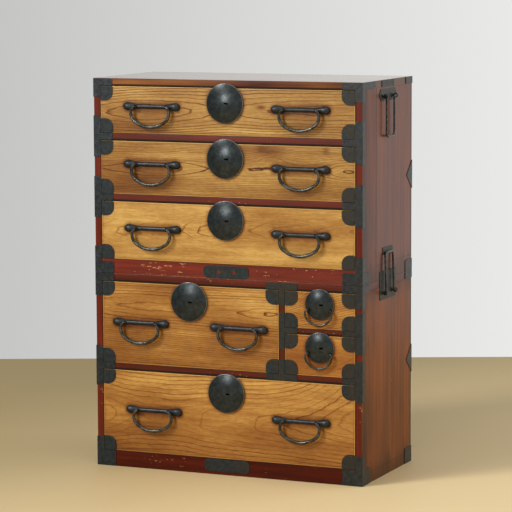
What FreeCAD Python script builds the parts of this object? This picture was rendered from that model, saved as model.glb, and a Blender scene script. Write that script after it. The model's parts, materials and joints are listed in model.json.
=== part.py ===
import FreeCAD, Part
import math
import os
import re

import Sketcher
from FreeCAD import Placement, Rotation, Vector

# A clothing chest in two stacked sections, drawer above drawer, with iron fittings.
# X runs to the right, Y to the back and Z up. The origin is on the floor, under the
# middle of the whole object. All sizes are in millimetres.

os.makedirs("parts", exist_ok=True)
doc = FreeCAD.newDocument("clothing_chest")

# Sizes that are chosen: name, value, what it measures.
DRIVING = [
    ("case_width", 805, "outside width of both sections"),
    ("case_depth", 385, "outside depth of both sections"),
    ("board_thick", 20, "side boards, seen as the stiles"),
    ("upper_top_thick", 20, "top board of the upper section"),
    ("lower_top_thick", 22, "top board of the lower section"),
    ("rail_depth", 24, "front to back of every rail"),
    ("rail_thick", 20, "rails between the upper drawers"),
    ("mid_rail_thick", 18, "rail above the bottom drawer"),
    ("small_rail_thick", 16, "rail between the small drawers"),
    ("divider_thick", 17, "upright board beside the small drawers"),
    ("divider_centre", 166.5, "middle of that board, right of the centre line"),
    ("dust_thick", 8, "thin boards that the drawers slide on"),
    ("back_thick", 9, "boards that close the back"),
    ("back_seam", 0.6, "open joint between two back boards"),
    ("upper_base_height", 41, "base rail of the upper section"),
    ("lower_base_height", 46, "base rail of the lower section"),
    ("top_opening", 132.5, "opening of the top drawer"),
    ("second_opening", 150.5, "opening of the second drawer"),
    ("third_opening", 164, "opening of the third drawer"),
    ("small_upper_opening", 103, "opening of the upper small drawer"),
    ("small_lower_opening", 114, "opening of the lower small drawer"),
    ("bottom_opening", 233, "opening of the bottom drawer"),
    ("drawer_side_gap", 0.8, "drawer front to the frame, each side"),
    ("drawer_under_gap", 0.3, "drawer to the board it slides on"),
    ("drawer_over_gap", 1.8, "drawer front to the rail above"),
    ("front_thick", 20, "drawer fronts"),
    ("front_proud", 0.5, "drawer fronts beyond the rails"),
    ("tray_thick", 10, "drawer sides and backs"),
    ("tray_bottom_thick", 7, "drawer bottoms"),
    ("tray_inset", 2, "drawer sides inside the ends of the front"),
    ("tray_drop", 8, "drawer sides below the top of the front"),
    ("tray_back_gap", 6, "drawer back to the back boards"),
    ("rebate_depth", 12, "rebates in the front that take the drawer sides"),
    ("iron_thick", 1.5, "sheet irons on the wood"),
    ("frame_arm", 57.5, "reach of the corner irons along a rail"),
    ("frame_reach", 48, "reach of the rails' irons along a stile, up and down"),
    ("top_reach", 33, "the top corner irons, down the stile"),
    ("meeting_reach", 43, "irons where the sections meet, along the stiles"),
    ("base_iron_short", 8, "corner irons of the upper base rail below its top edge"),
    ("side_wing", 18, "the same irons where they turn onto the side"),
    ("iron_edge_gap", 0.4, "irons kept back from an edge of the wood"),
    ("base_plate_width", 137, "middle plates on the two base rails"),
    ("base_plate_height", 35, "the same, up and down"),
    ("base_plate_round", 13, "the same, round corners"),
    ("base_plate_foot", 9, "the lower one above the floor"),
    ("base_plate_hole", 5.5, "radius of the two holes in the upper one"),
    ("base_plate_hole_pitch", 46, "the same, from one to the other"),
    ("drawer_plate_width", 38, "corner plates of the drawers, along the drawer"),
    ("drawer_plate_height", 40, "corner plates of the drawers, up and down"),
    ("drawer_plate_round", 24, "their round free corner"),
    ("lock_radius", 55, "round lock plates"),
    ("lock_rim", 4.5, "height of their rim"),
    ("lock_crown", 12.5, "height of their middle"),
    ("small_lock_radius", 42.5, "round plates of the small drawers"),
    ("small_lock_rim", 3.5, "height of their rim"),
    ("small_lock_crown", 10, "height of their middle"),
    ("upper_lock_overlap", 11.5, "lock plates over the rail above, upper section"),
    ("lower_lock_overlap", 7.5, "lock plates over the rail above, lower section"),
    ("dome_thick", 1.6, "sheet of the round plates"),
    ("keyhole_offset", 7.5, "keyhole to the right of the plate's middle"),
    ("keyhole_length", 12.5, "keyhole, end to end"),
    ("keyhole_radius", 2.3, "round ends of the keyhole"),
    ("key_bore", 6.5, "radius of the key's hole through the wood"),
    ("key_depth", 5, "the key's hole in the lock case"),
    ("lock_case_width", 50, "lock cases let into the drawer fronts"),
    ("lock_case_height", 56, "lock cases, up and down"),
    ("lock_case_thick", 8, "lock cases, front to back"),
    ("lock_case_fit", 0.1, "lock case to the wood round it"),
    ("bolt_width", 14, "lock bolts"),
    ("bolt_thick", 4, "lock bolts, front to back"),
    ("bolt_height", 34, "lock bolts, up and down"),
    ("bolt_gap", 0.3, "bolt to the lock case"),
    ("bolt_low", 0.5, "drawn bolt below the drawer's top edge"),
    ("bolt_travel", 8, "rise of the bolt when it locks"),
    ("slot_gap", 0.8, "bolt to the slot in the rail"),
    ("bar_length", 175, "handle bars, end to end"),
    ("bar_end_radius", 11.8, "their swollen ends"),
    ("full_handle_offset", 223.5, "handles of the full-width drawers from their middle"),
    ("wide_handle_offset", 150, "handles of the wide drawer from its middle"),
    ("top_handle_drop", 57, "handle bar below the opening's top, top drawer"),
    ("second_handle_drop", 65.5, "the same, second drawer"),
    ("third_handle_drop", 75, "the same, third drawer"),
    ("wide_handle_drop", 115, "the same, wide drawer"),
    ("bottom_handle_drop", 111.5, "the same, bottom drawer"),
    ("pivot_proud", 12.5, "axis of the bails in front of the drawer front"),
    ("pin_radius", 2.6, "ends of the bails, in the eyes"),
    ("eye_gap", 0.3, "pin to the eye round it"),
    ("eye_wire", 1.5, "wire radius of the eyes"),
    ("eye_offset", 46.5, "eyes from the middle of the bar"),
    ("pin_past_eye", 3.5, "pin beyond the middle of its eye"),
    ("shank_radius", 1.8, "shanks of the eyes"),
    ("shank_gap", 0.15, "shank to its hole"),
    ("rove_radius", 4.5, "washers that hold the shanks inside"),
    ("rove_thick", 1.5, "the same, thickness"),
    ("bail_half_width", 58.5, "drawer bails, middle of the wire"),
    ("bail_drop", 56.5, "the same, below the axis"),
    ("bail_corner", 8.5, "bend from the pin into the bail"),
    ("bail_leg", 9, "straight part below that bend"),
    ("bail_side_radius", 30, "bend at the sides of the oval below that"),
    ("bail_radius", 3.9, "wire radius of the drawer bails"),
    ("ring_eye_offset", 31, "eyes of the small plates from their middle"),
    ("ring_eye_drop", 15, "the same, below the middle"),
    ("ring_pivot_proud", 10.9, "axis of the small bails in front of the drawer front"),
    ("ring_half_width", 39.5, "small bails, middle of the wire"),
    ("ring_drop", 42, "the same, below the axis"),
    ("ring_corner", 4.5, "bend from the pin into the small bail"),
    ("ring_leg", 3, "straight part below that bend"),
    ("ring_pin_radius", 2, "ends of the small bails"),
    ("ring_side_radius", 30, "bend at the sides of the oval below that"),
    ("ring_radius", 2.5, "wire radius of the small bails"),
    ("ring_pin_past_eye", 3, "pin beyond the middle of its eye"),
    ("ring_eye_wire", 1.2, "wire radius of the small eyes"),
    ("carry_pivot_proud", 8.5, "axis of the carrying bails beside the case"),
    ("carry_half_width", 30, "carrying bails, middle of the wire"),
    ("carry_length", 110, "the same, axis to grip"),
    ("carry_corner", 11, "their outer corners"),
    ("carry_bend", 5, "bend from the leg into the pin"),
    ("carry_eye_offset", 39, "eyes from the middle of the case's depth"),
    ("carry_pin_past_eye", 3, "pin beyond the middle of its eye"),
    ("carry_radius", 3.2, "wire of the carrying bails"),
    ("carry_eye_wire", 1.7, "wire radius of their eyes"),
    ("carry_shank_radius", 2.2, "shanks of their eyes"),
    ("carry_shank_depth", 14, "these shanks in the side board"),
    ("upper_carry_drop", 45, "axis below the top of the upper section"),
    ("lower_carry_drop", 38, "axis below the top of the lower section"),
    ("raised_gap", 0.3, "raised bail to the catch plate it leans on"),
    ("carry_plate_width", 140, "hinge plate, upper section, front to back"),
    ("carry_plate_height", 33, "the same, up and down"),
    ("lower_plate_width", 122, "hinge plate, lower section, front to back"),
    ("lower_plate_height", 57, "the same, up and down"),
    ("strap_width", 94, "strap on the top board's edge"),
    ("meeting_plate_height", 22, "plate of the upper section above the hinge plate"),
    ("catch_width", 78, "catch plate for the raised bail, front to back"),
    ("catch_height", 20, "the same, up and down"),
    ("catch_above_grip", 5, "its middle above the raised grip"),
    ("plate_round", 4, "small round corners of the irons"),
    ("rear_arm", 52, "rear corner irons, front to back"),
    ("rear_wing", 40, "the same, where they turn onto the back"),
    ("lozenge_width", 43, "half lozenges on the rear edge, front to back"),
    ("lozenge_height", 80, "the same, up and down"),
    ("upper_lozenge_level", 272, "upper half lozenge above the upper section's base"),
    ("lower_lozenge_level", 299, "lower half lozenge above the floor"),
    ("foot_iron_height", 83, "front corner irons at the floor"),
    ("foot_wing", 55, "the same, along the side"),
    ("top_wing", 95, "front corner irons at the top, along the side"),
    ("junction_wing", 50, "irons where the sections meet, along the side"),
]

# Sizes that follow from those, as sums in the sheet.
DERIVED = [
    ("inner_half", "case_width / 2 - board_thick"),
    ("bottom_floor", "lower_base_height"),
    ("bottom_ceiling", "bottom_floor + bottom_opening"),
    ("middle_floor", "bottom_ceiling + mid_rail_thick"),
    ("small_ceiling", "middle_floor + small_lower_opening"),
    ("small_floor", "small_ceiling + small_rail_thick"),
    ("middle_ceiling", "small_floor + small_upper_opening"),
    ("lower_height", "middle_ceiling + lower_top_thick"),
    ("third_floor", "lower_height + upper_base_height"),
    ("third_ceiling", "third_floor + third_opening"),
    ("second_floor", "third_ceiling + rail_thick"),
    ("second_ceiling", "second_floor + second_opening"),
    ("top_floor", "second_ceiling + rail_thick"),
    ("top_ceiling", "top_floor + top_opening"),
    ("chest_height", "top_ceiling + upper_top_thick"),
    ("eye_ring", "pin_radius + eye_gap + eye_wire"),
    ("front_reach", "front_proud + pivot_proud + eye_ring + eye_wire"),
    ("front_y", "(front_reach - case_depth - iron_thick) / 2"),
    ("middle_y", "front_y + case_depth / 2"),
    ("back_y", "front_y + case_depth"),
    ("front_inner_y", "front_y - front_proud + front_thick"),
    ("divider_left", "divider_centre - divider_thick / 2"),
    ("divider_right", "divider_centre + divider_thick / 2"),
    ("tray_back_y", "back_y - back_thick - tray_back_gap"),
]

# The drawers: their opening in the frame, the overlap of the lock plate and, unless
# the drawer is a small one, how far out and how far down its handles are.
DRAWERS = {
    "top_drawer": {
        "left": "-inner_half", "right": "inner_half", "floor": "top_floor", "ceiling": "top_ceiling",
        "overlap": "upper_lock_overlap", "handle": ("full_handle_offset", "top_handle_drop")},
    "second_drawer": {
        "left": "-inner_half", "right": "inner_half", "floor": "second_floor",
        "ceiling": "second_ceiling", "overlap": "upper_lock_overlap",
        "handle": ("full_handle_offset", "second_handle_drop")},
    "third_drawer": {
        "left": "-inner_half", "right": "inner_half", "floor": "third_floor",
        "ceiling": "third_ceiling", "overlap": "upper_lock_overlap",
        "handle": ("full_handle_offset", "third_handle_drop")},
    "wide_drawer": {
        "left": "-inner_half", "right": "divider_left", "floor": "middle_floor",
        "ceiling": "middle_ceiling", "overlap": "lower_lock_overlap",
        "handle": ("wide_handle_offset", "wide_handle_drop")},
    "small_upper_drawer": {
        "left": "divider_right", "right": "inner_half", "floor": "small_floor",
        "ceiling": "middle_ceiling", "overlap": "lower_lock_overlap", "handle": None},
    "small_lower_drawer": {
        "left": "divider_right", "right": "inner_half", "floor": "middle_floor",
        "ceiling": "small_ceiling", "overlap": "lower_lock_overlap", "handle": None},
    "bottom_drawer": {
        "left": "-inner_half", "right": "inner_half", "floor": "bottom_floor",
        "ceiling": "bottom_ceiling", "overlap": "lower_lock_overlap",
        "handle": ("full_handle_offset", "bottom_handle_drop")},
}


def drawer_cells(name, place):
    """Sheet rows of one drawer, worked out from its opening."""
    lock_size = "lock_radius" if place["handle"] else "small_lock_radius"
    return [
        (name + "_left", "{left} + drawer_side_gap".format(**place)),
        (name + "_width", "{right} - ({left}) - 2 * drawer_side_gap".format(**place)),
        (name + "_foot", "{floor} + drawer_under_gap".format(**place)),
        (name + "_height", "{ceiling} - {floor} - drawer_under_gap - drawer_over_gap".format(**place)),
        (name + "_lock_level", "{ceiling} + {overlap} - ".format(**place) + lock_size),
    ]


for drawer, opening in DRAWERS.items():
    DERIVED.extend(drawer_cells(drawer, opening))

sheet = doc.addObject("Spreadsheet::Sheet", "Sizes")
KNOWN = sorted([row[0] for row in DRIVING + DERIVED], key=len, reverse=True)
ALIAS_WORD = re.compile(r"\b(" + "|".join(KNOWN) + r")\b")

for row, (alias, value, meaning) in enumerate(DRIVING, start=1):
    sheet.set("A%d" % row, meaning)
    sheet.set("B%d" % row, str(value))
    sheet.setAlias("B%d" % row, alias)
doc.recompute()
for row, (alias, formula) in enumerate(DERIVED, start=len(DRIVING) + 1):
    sheet.set("B%d" % row, "=" + formula)
    sheet.setAlias("B%d" % row, alias)
    doc.recompute()

sizes = {alias: float(sheet.get(alias)) for alias in KNOWN}
nodes = {}


def bind(item, property_path, text):
    """Bind a property to a sum of sheet cells, written with their bare names."""
    item.setExpression(property_path, ALIAS_WORD.sub(r"Sizes.\1", text))


def board(name, x, y, z, length, width, height):
    """A plain board: corner at x, y, z, and its sizes along X, Y and Z."""
    box = doc.addObject("Part::Box", name)
    for property_path, text in (
            ("Length", length), ("Width", width), ("Height", height),
            ("Placement.Base.x", x), ("Placement.Base.y", y), ("Placement.Base.z", z)):
        bind(box, property_path, text)
    return box


def cut(name, base, tools):
    """Base with every tool taken away from it."""
    for index, tool in enumerate(tools):
        result = doc.addObject("Part::Cut", "%s_cut_%d" % (name, index))
        result.Base = base
        result.Tool = tool
        base = result
    return base


def keep(name, *pieces):
    """Name one node: a single piece, or separate solids that stay together."""
    node = pieces[0]
    if len(pieces) > 1:
        node = doc.addObject("Part::Compound", name)
        node.Links = list(pieces)
    node.Label = name
    nodes[name] = node


def keep_shapes(name, shapes):
    """Name one node that is made of shapes worked out here from the sheet's sizes."""
    node = doc.addObject("Part::Feature", name)
    node.Shape = Part.makeCompound(shapes)
    node.Placement = Placement()
    node.Label = name
    nodes[name] = node


# Boards of the two sections.

def bolt_slot(drawer):
    """Room for the raised bolt of a drawer, in the underside of the rail above it."""
    place = DRAWERS[drawer]
    return board(
        drawer + "_bolt_slot",
        "{0}_left + {0}_width / 2 - bolt_width / 2 - slot_gap".format(drawer),
        "front_inner_y - lock_case_thick / 2 - bolt_thick / 2 - slot_gap",
        place["ceiling"] + " - slot_gap",
        "bolt_width + 2 * slot_gap",
        "bolt_thick + 2 * slot_gap",
        "bolt_travel + 2 * slot_gap")


def staple_bore(name, side, level, along):
    """Blind hole in a side board for the shank of a carrying bail's eye."""
    bore = doc.addObject("Part::Cylinder", name)
    bind(bore, "Radius", "carry_shank_radius + shank_gap")
    bind(bore, "Height", "carry_shank_depth + shank_gap")
    bore.Placement.Rotation = Rotation(Vector(0, 1, 0), -90 * side)
    bind(bore, "Placement.Base.x", "%d * case_width / 2" % side)
    bind(bore, "Placement.Base.y", "middle_y %s carry_eye_offset" % along)
    bind(bore, "Placement.Base.z", level)
    return bore


def side_board(section, side_name, side, foot, height, level):
    """A side board of one section, with the two holes for its carrying bail's eyes."""
    name = "%s_side_%s" % (section, side_name)
    left = "-case_width / 2" if side < 0 else "case_width / 2 - board_thick"
    plain = board(name, left, "front_y", foot, "board_thick", "case_depth", height)
    bores = [staple_bore("%s_bore_%d" % (name, index), side, level, along)
             for index, along in enumerate("-+")]
    keep(name, cut(name, plain, bores))


def shelf(name, left, right, floor, thick, drawers_below):
    """A rail with slots for the bolts below it, and the thin board behind it."""
    width = "%s - (%s)" % (right, left)
    rail = board(name + "_rail", left, "front_y", "%s - %s" % (floor, thick),
                 width, "rail_depth", thick)
    rail = cut(name + "_rail", rail, [bolt_slot(drawer) for drawer in drawers_below])
    dust = board(name + "_dust", left, "front_y + rail_depth", "%s - dust_thick" % floor,
                 width, "case_depth - rail_depth - back_thick", "dust_thick")
    return [rail, dust]


def base(name, foot, height):
    """Base of a section: front rail, bottom board and rear rail between the sides."""
    front = board(name + "_front", "-inner_half", "front_y", foot, "2 * inner_half", "rail_depth", height)
    bottom = board(name + "_bottom", "-inner_half", "front_y + rail_depth",
                   "%s + %s - dust_thick" % (foot, height),
                   "2 * inner_half", "case_depth - 2 * rail_depth", "dust_thick")
    rear = board(name + "_rear", "-inner_half", "back_y - rail_depth", foot,
                 "2 * inner_half", "rail_depth", height)
    keep(name, front, bottom, rear)


def back_boards(name, floor, ceiling, count):
    """Back boards of a section, one above the other."""
    pitch = "(%s - (%s)) / %d" % (ceiling, floor, count)
    keep(name, *[
        board("%s_%d" % (name, index), "-inner_half", "back_y - back_thick",
              "%s + %d * %s" % (floor, index, pitch), "2 * inner_half", "back_thick",
              pitch + (" - back_seam" if index < count - 1 else ""))
        for index in range(count)])


for side_name, side in (("left", -1), ("right", 1)):
    side_board("lower", side_name, side, "0", "middle_ceiling", "lower_height - lower_carry_drop")
    side_board("upper", side_name, side, "lower_height", "top_ceiling - lower_height",
               "chest_height - upper_carry_drop")

keep("lower_top_board", cut(
    "lower_top_board",
    board("lower_top_plain", "-case_width / 2", "front_y", "middle_ceiling",
          "case_width", "case_depth", "lower_top_thick"),
    [bolt_slot("wide_drawer"), bolt_slot("small_upper_drawer")]))
keep("upper_top_board", cut(
    "upper_top_board",
    board("upper_top_plain", "-case_width / 2", "front_y", "top_ceiling",
          "case_width", "case_depth", "upper_top_thick"),
    [bolt_slot("top_drawer")]))

base("lower_base", "0", "lower_base_height")
base("upper_base", "lower_height", "upper_base_height")
back_boards("lower_back_boards", "bottom_floor", "middle_ceiling", 3)
back_boards("upper_back_boards", "third_floor", "top_ceiling", 3)

keep("lower_shelf", *shelf("lower_shelf", "-inner_half", "inner_half", "middle_floor",
                           "mid_rail_thick", ["bottom_drawer"]))
keep("lower_small_shelf", *shelf("lower_small_shelf", "divider_right", "inner_half", "small_floor",
                                 "small_rail_thick", ["small_lower_drawer"]))
keep("upper_shelves",
     *shelf("third_shelf", "-inner_half", "inner_half", "second_floor", "rail_thick", ["third_drawer"]),
     *shelf("second_shelf", "-inner_half", "inner_half", "top_floor", "rail_thick", ["second_drawer"]))
keep("lower_divider", board(
    "divider", "divider_left", "front_y", "middle_floor",
    "divider_thick", "case_depth - back_thick", "middle_ceiling - middle_floor"))


# Drawer fronts: a padded outline with the lock mortise, the rebates for the drawer
# sides and the holes for key and eyes cut into it. Each front's own origin is the
# lower left corner of its face.

HORIZONTAL_AXIS_INDEX = -1
VERTICAL_AXIS_INDEX = -2


def sketch_on_face(body, name, depth=None):
    """A sketch on the front's face, or in a plane that lies that much further back."""
    sketch = body.newObject("Sketcher::SketchObject", name)
    plane = next(item for item in body.Origin.OriginFeatures if item.Role == "XZ_Plane")
    sketch.AttachmentSupport = [(plane, "")]
    sketch.MapMode = "FlatFace"
    if depth:
        bind(sketch, "AttachmentOffset.Base.z", "-(%s)" % depth)
    return sketch


def measure(sketch, kind, first, point, text):
    """A distance from the sketch's origin, or between two points, bound to the sheet."""
    index = sketch.addConstraint(Sketcher.Constraint(kind, *first, *point, 1.0))
    bind(sketch, "Constraints[%d]" % index, text)


def pin_point(sketch, geometry, vertex, x, y):
    """Hold a point at x, y from the sketch's origin."""
    for value, kind, axis in ((x, "DistanceX", VERTICAL_AXIS_INDEX), (y, "DistanceY", HORIZONTAL_AXIS_INDEX)):
        if value == "0":
            sketch.addConstraint(Sketcher.Constraint("PointOnObject", geometry, vertex, axis))
        else:
            measure(sketch, kind, (HORIZONTAL_AXIS_INDEX, 1), (geometry, vertex), value)


def rectangle(sketch, x, y, width, height):
    """A rectangle from its lower left corner."""
    corners = [Vector(0, 0, 0), Vector(1, 0, 0), Vector(1, 1, 0), Vector(0, 1, 0)]
    lines = [sketch.addGeometry(Part.LineSegment(corners[i], corners[(i + 1) % 4]), False)
             for i in range(4)]
    for index in range(4):
        sketch.addConstraint(Sketcher.Constraint(
            "Coincident", lines[index], 2, lines[(index + 1) % 4], 1))
        sketch.addConstraint(Sketcher.Constraint(
            "Vertical" if index % 2 else "Horizontal", lines[index]))
    pin_point(sketch, lines[0], 1, x, y)
    measure(sketch, "DistanceX", (lines[0], 1), (lines[0], 2), width)
    measure(sketch, "DistanceY", (lines[1], 1), (lines[1], 2), height)


def circle(sketch, x, y, radius):
    """A circle at x, y."""
    ring = sketch.addGeometry(Part.Circle(Vector(1, 1, 0), Vector(0, 0, 1), 1), False)
    pin_point(sketch, ring, 3, x, y)
    index = sketch.addConstraint(Sketcher.Constraint("Radius", ring, 1.0))
    bind(sketch, "Constraints[%d]" % index, radius)


def pocket(body, sketch, depth, backwards=False):
    """Cut a sketch into the front, backwards for one that starts at the inner face."""
    feature = body.newObject("PartDesign::Pocket", sketch.Name + "_pocket")
    feature.Profile = sketch
    bind(feature, "Length", depth)
    feature.Reversed = backwards
    return feature


def drawer_front(name):
    """One drawer front."""
    place = DRAWERS[name]
    width = name + "_width"
    height = name + "_height"
    foot = name + "_foot"
    level = name + "_lock_level"
    body = doc.addObject("PartDesign::Body", name + "_front")
    outline = sketch_on_face(body, name + "_outline")
    rectangle(outline, "0", "0", width, height)
    pad = body.newObject("PartDesign::Pad", name + "_pad")
    pad.Profile = outline
    bind(pad, "Length", "front_thick")
    pad.Reversed = True

    rebates = sketch_on_face(body, name + "_rebates", "front_thick")
    end = "(tray_inset + tray_thick)"
    rectangle(rebates, "0", "0", end, height)
    rectangle(rebates, "%s - %s" % (width, end), "0", end, height)
    pocket(body, rebates, "rebate_depth", backwards=True)

    mortise = sketch_on_face(body, name + "_mortise", "front_thick")
    mortise_width = "lock_case_width + 2 * lock_case_fit"
    mortise_height = "lock_case_height + lock_case_fit"
    rectangle(mortise, "%s / 2 - (%s) / 2" % (width, mortise_width),
              "%s - (%s)" % (height, mortise_height), mortise_width, mortise_height)
    pocket(body, mortise, "lock_case_thick + lock_case_fit", backwards=True)

    holes = sketch_on_face(body, name + "_holes")
    lock_height = "%s - %s" % (level, foot)
    circle(holes, "%s / 2 + keyhole_offset" % width, lock_height, "key_bore")
    shank = "shank_radius + shank_gap"
    if place["handle"]:
        offset, drop = place["handle"]
        for handle in "-+":
            for eye in "-+":
                circle(holes, "%s / 2 %s %s %s eye_offset" % (width, handle, offset, eye),
                       "%s - %s - %s" % (place["ceiling"], drop, foot), shank)
    else:
        for eye in "-+":
            circle(holes, "%s / 2 %s ring_eye_offset" % (width, eye),
                   "%s - ring_eye_drop" % lock_height, shank)
    pocket(body, holes, "front_thick")
    bind(body, "Placement.Base.x", name + "_left")
    bind(body, "Placement.Base.y", "front_y - front_proud")
    bind(body, "Placement.Base.z", foot)
    keep(name + "_front", body)


def drawer_tray(name):
    """Sides, back and bottom of one drawer."""
    left = name + "_left + tray_inset"
    width = "(%s_width - 2 * tray_inset)" % name
    foot = name + "_foot"
    rise = "(%s_height - tray_drop - tray_bottom_thick)" % name
    length = "tray_back_y - front_inner_y"
    walls = foot + " + tray_bottom_thick"
    bottom = board(name + "_bottom", left + " + tray_thick", "front_inner_y", foot,
                   width + " - 2 * tray_thick", length, "tray_bottom_thick")
    left_side = board(name + "_left_side", left, "front_inner_y - rebate_depth", foot,
                      "tray_thick", length + " + rebate_depth", rise + " + tray_bottom_thick")
    right_side = board(name + "_right_side", left + " + %s - tray_thick" % width,
                       "front_inner_y - rebate_depth", foot,
                       "tray_thick", length + " + rebate_depth", rise + " + tray_bottom_thick")
    back = board(name + "_back", left + " + tray_thick", "tray_back_y - tray_thick", walls,
                 width + " - 2 * tray_thick", "tray_thick", rise)
    keep(name + "_tray", bottom, left_side, right_side, back)


def lock_bolt(name):
    """The bolt of one drawer's lock, drawn down into its case."""
    keep(name + "_bolt", board(
        name + "_bolt",
        "{0}_left + {0}_width / 2 - bolt_width / 2".format(name),
        "front_inner_y - lock_case_thick / 2 - bolt_thick / 2",
        "{0}_foot + {0}_height - bolt_low - bolt_height".format(name),
        "bolt_width", "bolt_thick", "bolt_height"))


# Irons, as shapes worked out from the sheet's sizes.

def outline_edges(corners, place):
    """Edges of a closed outline with round corners; corners are (u, v, radius)."""
    points = [Vector(u, v, 0) for u, v, radius in corners]
    bends = []
    for index, (u, v, radius) in enumerate(corners):
        here = points[index]
        to_before = (points[index - 1] - here).normalize()
        to_after = (points[(index + 1) % len(points)] - here).normalize()
        half = to_before.getAngle(to_after) / 2
        reach = radius / math.tan(half)
        inward = (to_before + to_after).normalize()
        middle = here + inward * (radius / math.sin(half) - radius)
        bends.append((here + to_before * reach, middle, here + to_after * reach, radius))
    edges = []
    for index, (start, middle, end, radius) in enumerate(bends):
        if radius:
            edges.append(Part.Arc(place(start), place(middle), place(end)).toShape())
        following = bends[(index + 1) % len(bends)][0]
        if (following - end).Length > Part.Precision.confusion():
            edges.append(Part.LineSegment(place(end), place(following)).toShape())
    return edges


def sheet_iron(corners, place, thickness):
    """A flat iron with that outline, thickened along a vector."""
    return Part.Face(Part.Wire(outline_edges(corners, place))).extrude(thickness)


def front_iron(corners, y=None):
    """An iron on the front of the frame, or with its back at y."""
    seat = sizes["front_y"] if y is None else y
    return sheet_iron(corners, lambda at: Vector(at.x, seat, at.y), Vector(0, -sizes["iron_thick"], 0))


def side_iron(corners, side):
    """An iron on a side; corners are measured back from the front and up from the floor."""
    x = side * sizes["case_width"] / 2
    return sheet_iron(
        corners, lambda at: Vector(x, sizes["front_y"] + at.x, at.y),
        Vector(side * sizes["iron_thick"], 0, 0))


def back_iron(corners):
    """An iron on the back."""
    return sheet_iron(corners, lambda at: Vector(at.x, sizes["back_y"], at.y),
                      Vector(0, sizes["iron_thick"], 0))


def box_corners(left, right, low, high, radius=0):
    """Corners of an upright rectangle."""
    return [(left, low, radius), (right, low, radius), (right, high, radius), (left, high, radius)]


def tee_iron(side, rail_low, rail_high, low, high, arm, wing):
    """Iron round the outer edge of a stile, with an arm along a rail that meets it."""
    thick = sizes["iron_thick"]
    round_small = sizes["plate_round"]
    stile = sizes["board_thick"]
    edge = sizes["case_width"] / 2
    corners = [(thick, low, 0)]
    if rail_low > low:
        corners.extend([(-stile, low, round_small), (-stile, rail_low, 0)])
    corners.extend([(-arm, rail_low, round_small), (-arm, rail_high, round_small)])
    if rail_high < high:
        corners.extend([(-stile, rail_high, 0), (-stile, high, round_small)])
    corners.append((thick, high, 0))
    front = front_iron([(side * (edge + out), up, radius) for out, up, radius in corners])
    return front.fuse([side_iron(wing, side)]).removeSplitter()


def stile_wing(low, high):
    """The part of a stile iron that lies on the side."""
    return [(-sizes["iron_thick"], low, 0), (sizes["side_wing"], low, sizes["plate_round"]),
            (sizes["side_wing"], high, sizes["plate_round"]), (-sizes["iron_thick"], high, 0)]


def rail_tee(side, rail_low, rail_high, arm=None):
    """Iron where a rail meets an outer stile, as long above the rail as below."""
    gap = sizes["iron_edge_gap"]
    reach = sizes["frame_reach"]
    low = rail_low - reach
    high = rail_high + reach - gap
    return tee_iron(side, rail_low + gap, rail_high - gap, low, high,
                    sizes["frame_arm"] if arm is None else arm, stile_wing(low, high))


def corner_wing(low, high, inner_low, inner_high, reach):
    """Side part of an iron at a corner, with a wide arm along the board or base."""
    thick = sizes["iron_thick"]
    wing = sizes["side_wing"]
    small = sizes["plate_round"]
    corners = [(-thick, low, 0)]
    if inner_low > low:
        corners.extend([(wing, low, small), (wing, inner_low, small), (reach, inner_low, small)])
    else:
        corners.append((reach, low, small))
    if inner_high < high:
        corners.extend([(reach, inner_high, small), (wing, inner_high, small), (wing, high, small)])
    else:
        corners.append((reach, high, small))
    corners.append((-thick, high, 0))
    return corners


def rear_iron(side, low, high, arm):
    """Iron at a rear corner, on the side and turned onto the back."""
    thick = sizes["iron_thick"]
    small = sizes["plate_round"]
    depth = sizes["case_depth"]
    edge = side * sizes["case_width"] / 2
    flank = side_iron([(depth - arm, low, small), (depth + thick, low, 0),
                       (depth + thick, high, 0), (depth - arm, high, small)], side)
    back = back_iron([(edge + side * thick, low, 0), (edge - side * sizes["rear_wing"], low, small),
                      (edge - side * sizes["rear_wing"], high, small), (edge + side * thick, high, 0)])
    return flank.fuse([back]).removeSplitter()


def half_lozenge(side, level):
    """Three-cornered iron on a side's rear edge, turned onto the back."""
    thick = sizes["iron_thick"]
    small = sizes["plate_round"]
    depth = sizes["case_depth"]
    half = sizes["lozenge_height"] / 2
    edge = side * sizes["case_width"] / 2
    flank = side_iron([(depth - sizes["lozenge_width"], level, small), (depth + thick, level - half, 0),
                       (depth + thick, level + half, 0)], side)
    back = back_iron([(edge - side * sizes["lozenge_width"], level, small),
                      (edge + side * thick, level - half, 0), (edge + side * thick, level + half, 0)])
    return flank.fuse([back]).removeSplitter()


def middle_plate(low, pierced):
    """Long plate with round corners in the middle of a base rail."""
    half = sizes["base_plate_width"] / 2
    high = low + sizes["base_plate_height"]
    plate = front_iron(box_corners(-half, half, low, high, sizes["base_plate_round"]))
    if not pierced:
        return plate
    holes = [rod(Vector(side * sizes["base_plate_hole_pitch"] / 2, sizes["front_y"], (low + high) / 2),
                 sizes["base_plate_hole"], Vector(0, -1, 0), 2 * sizes["iron_thick"])
             for side in (-1, 1)]
    return plate.cut(holes)


def rod(start, radius, direction, length):
    """A round rod, or the tool for a round hole, from start along a direction."""
    return Part.makeCylinder(radius, length, start, direction)


def eye_staple(at, proud, eye_radius, wire, shank, depth, rove=True):
    """An eye on a shank, its hole along X, at a point of a face that looks along -Y."""
    ring = Part.makeTorus(eye_radius, wire, Vector(0, -proud, 0), Vector(1, 0, 0))
    start = Vector(0, -proud + eye_radius, 0)
    stem = rod(start, shank, Vector(0, 1, 0), proud - eye_radius + depth)
    pieces = [stem]
    if rove:
        pieces.append(rod(Vector(0, depth - sizes["rove_thick"], 0), sizes["rove_radius"],
                          Vector(0, 1, 0), sizes["rove_thick"]))
    staple = ring.fuse(pieces)
    staple.translate(at)
    return staple


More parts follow.
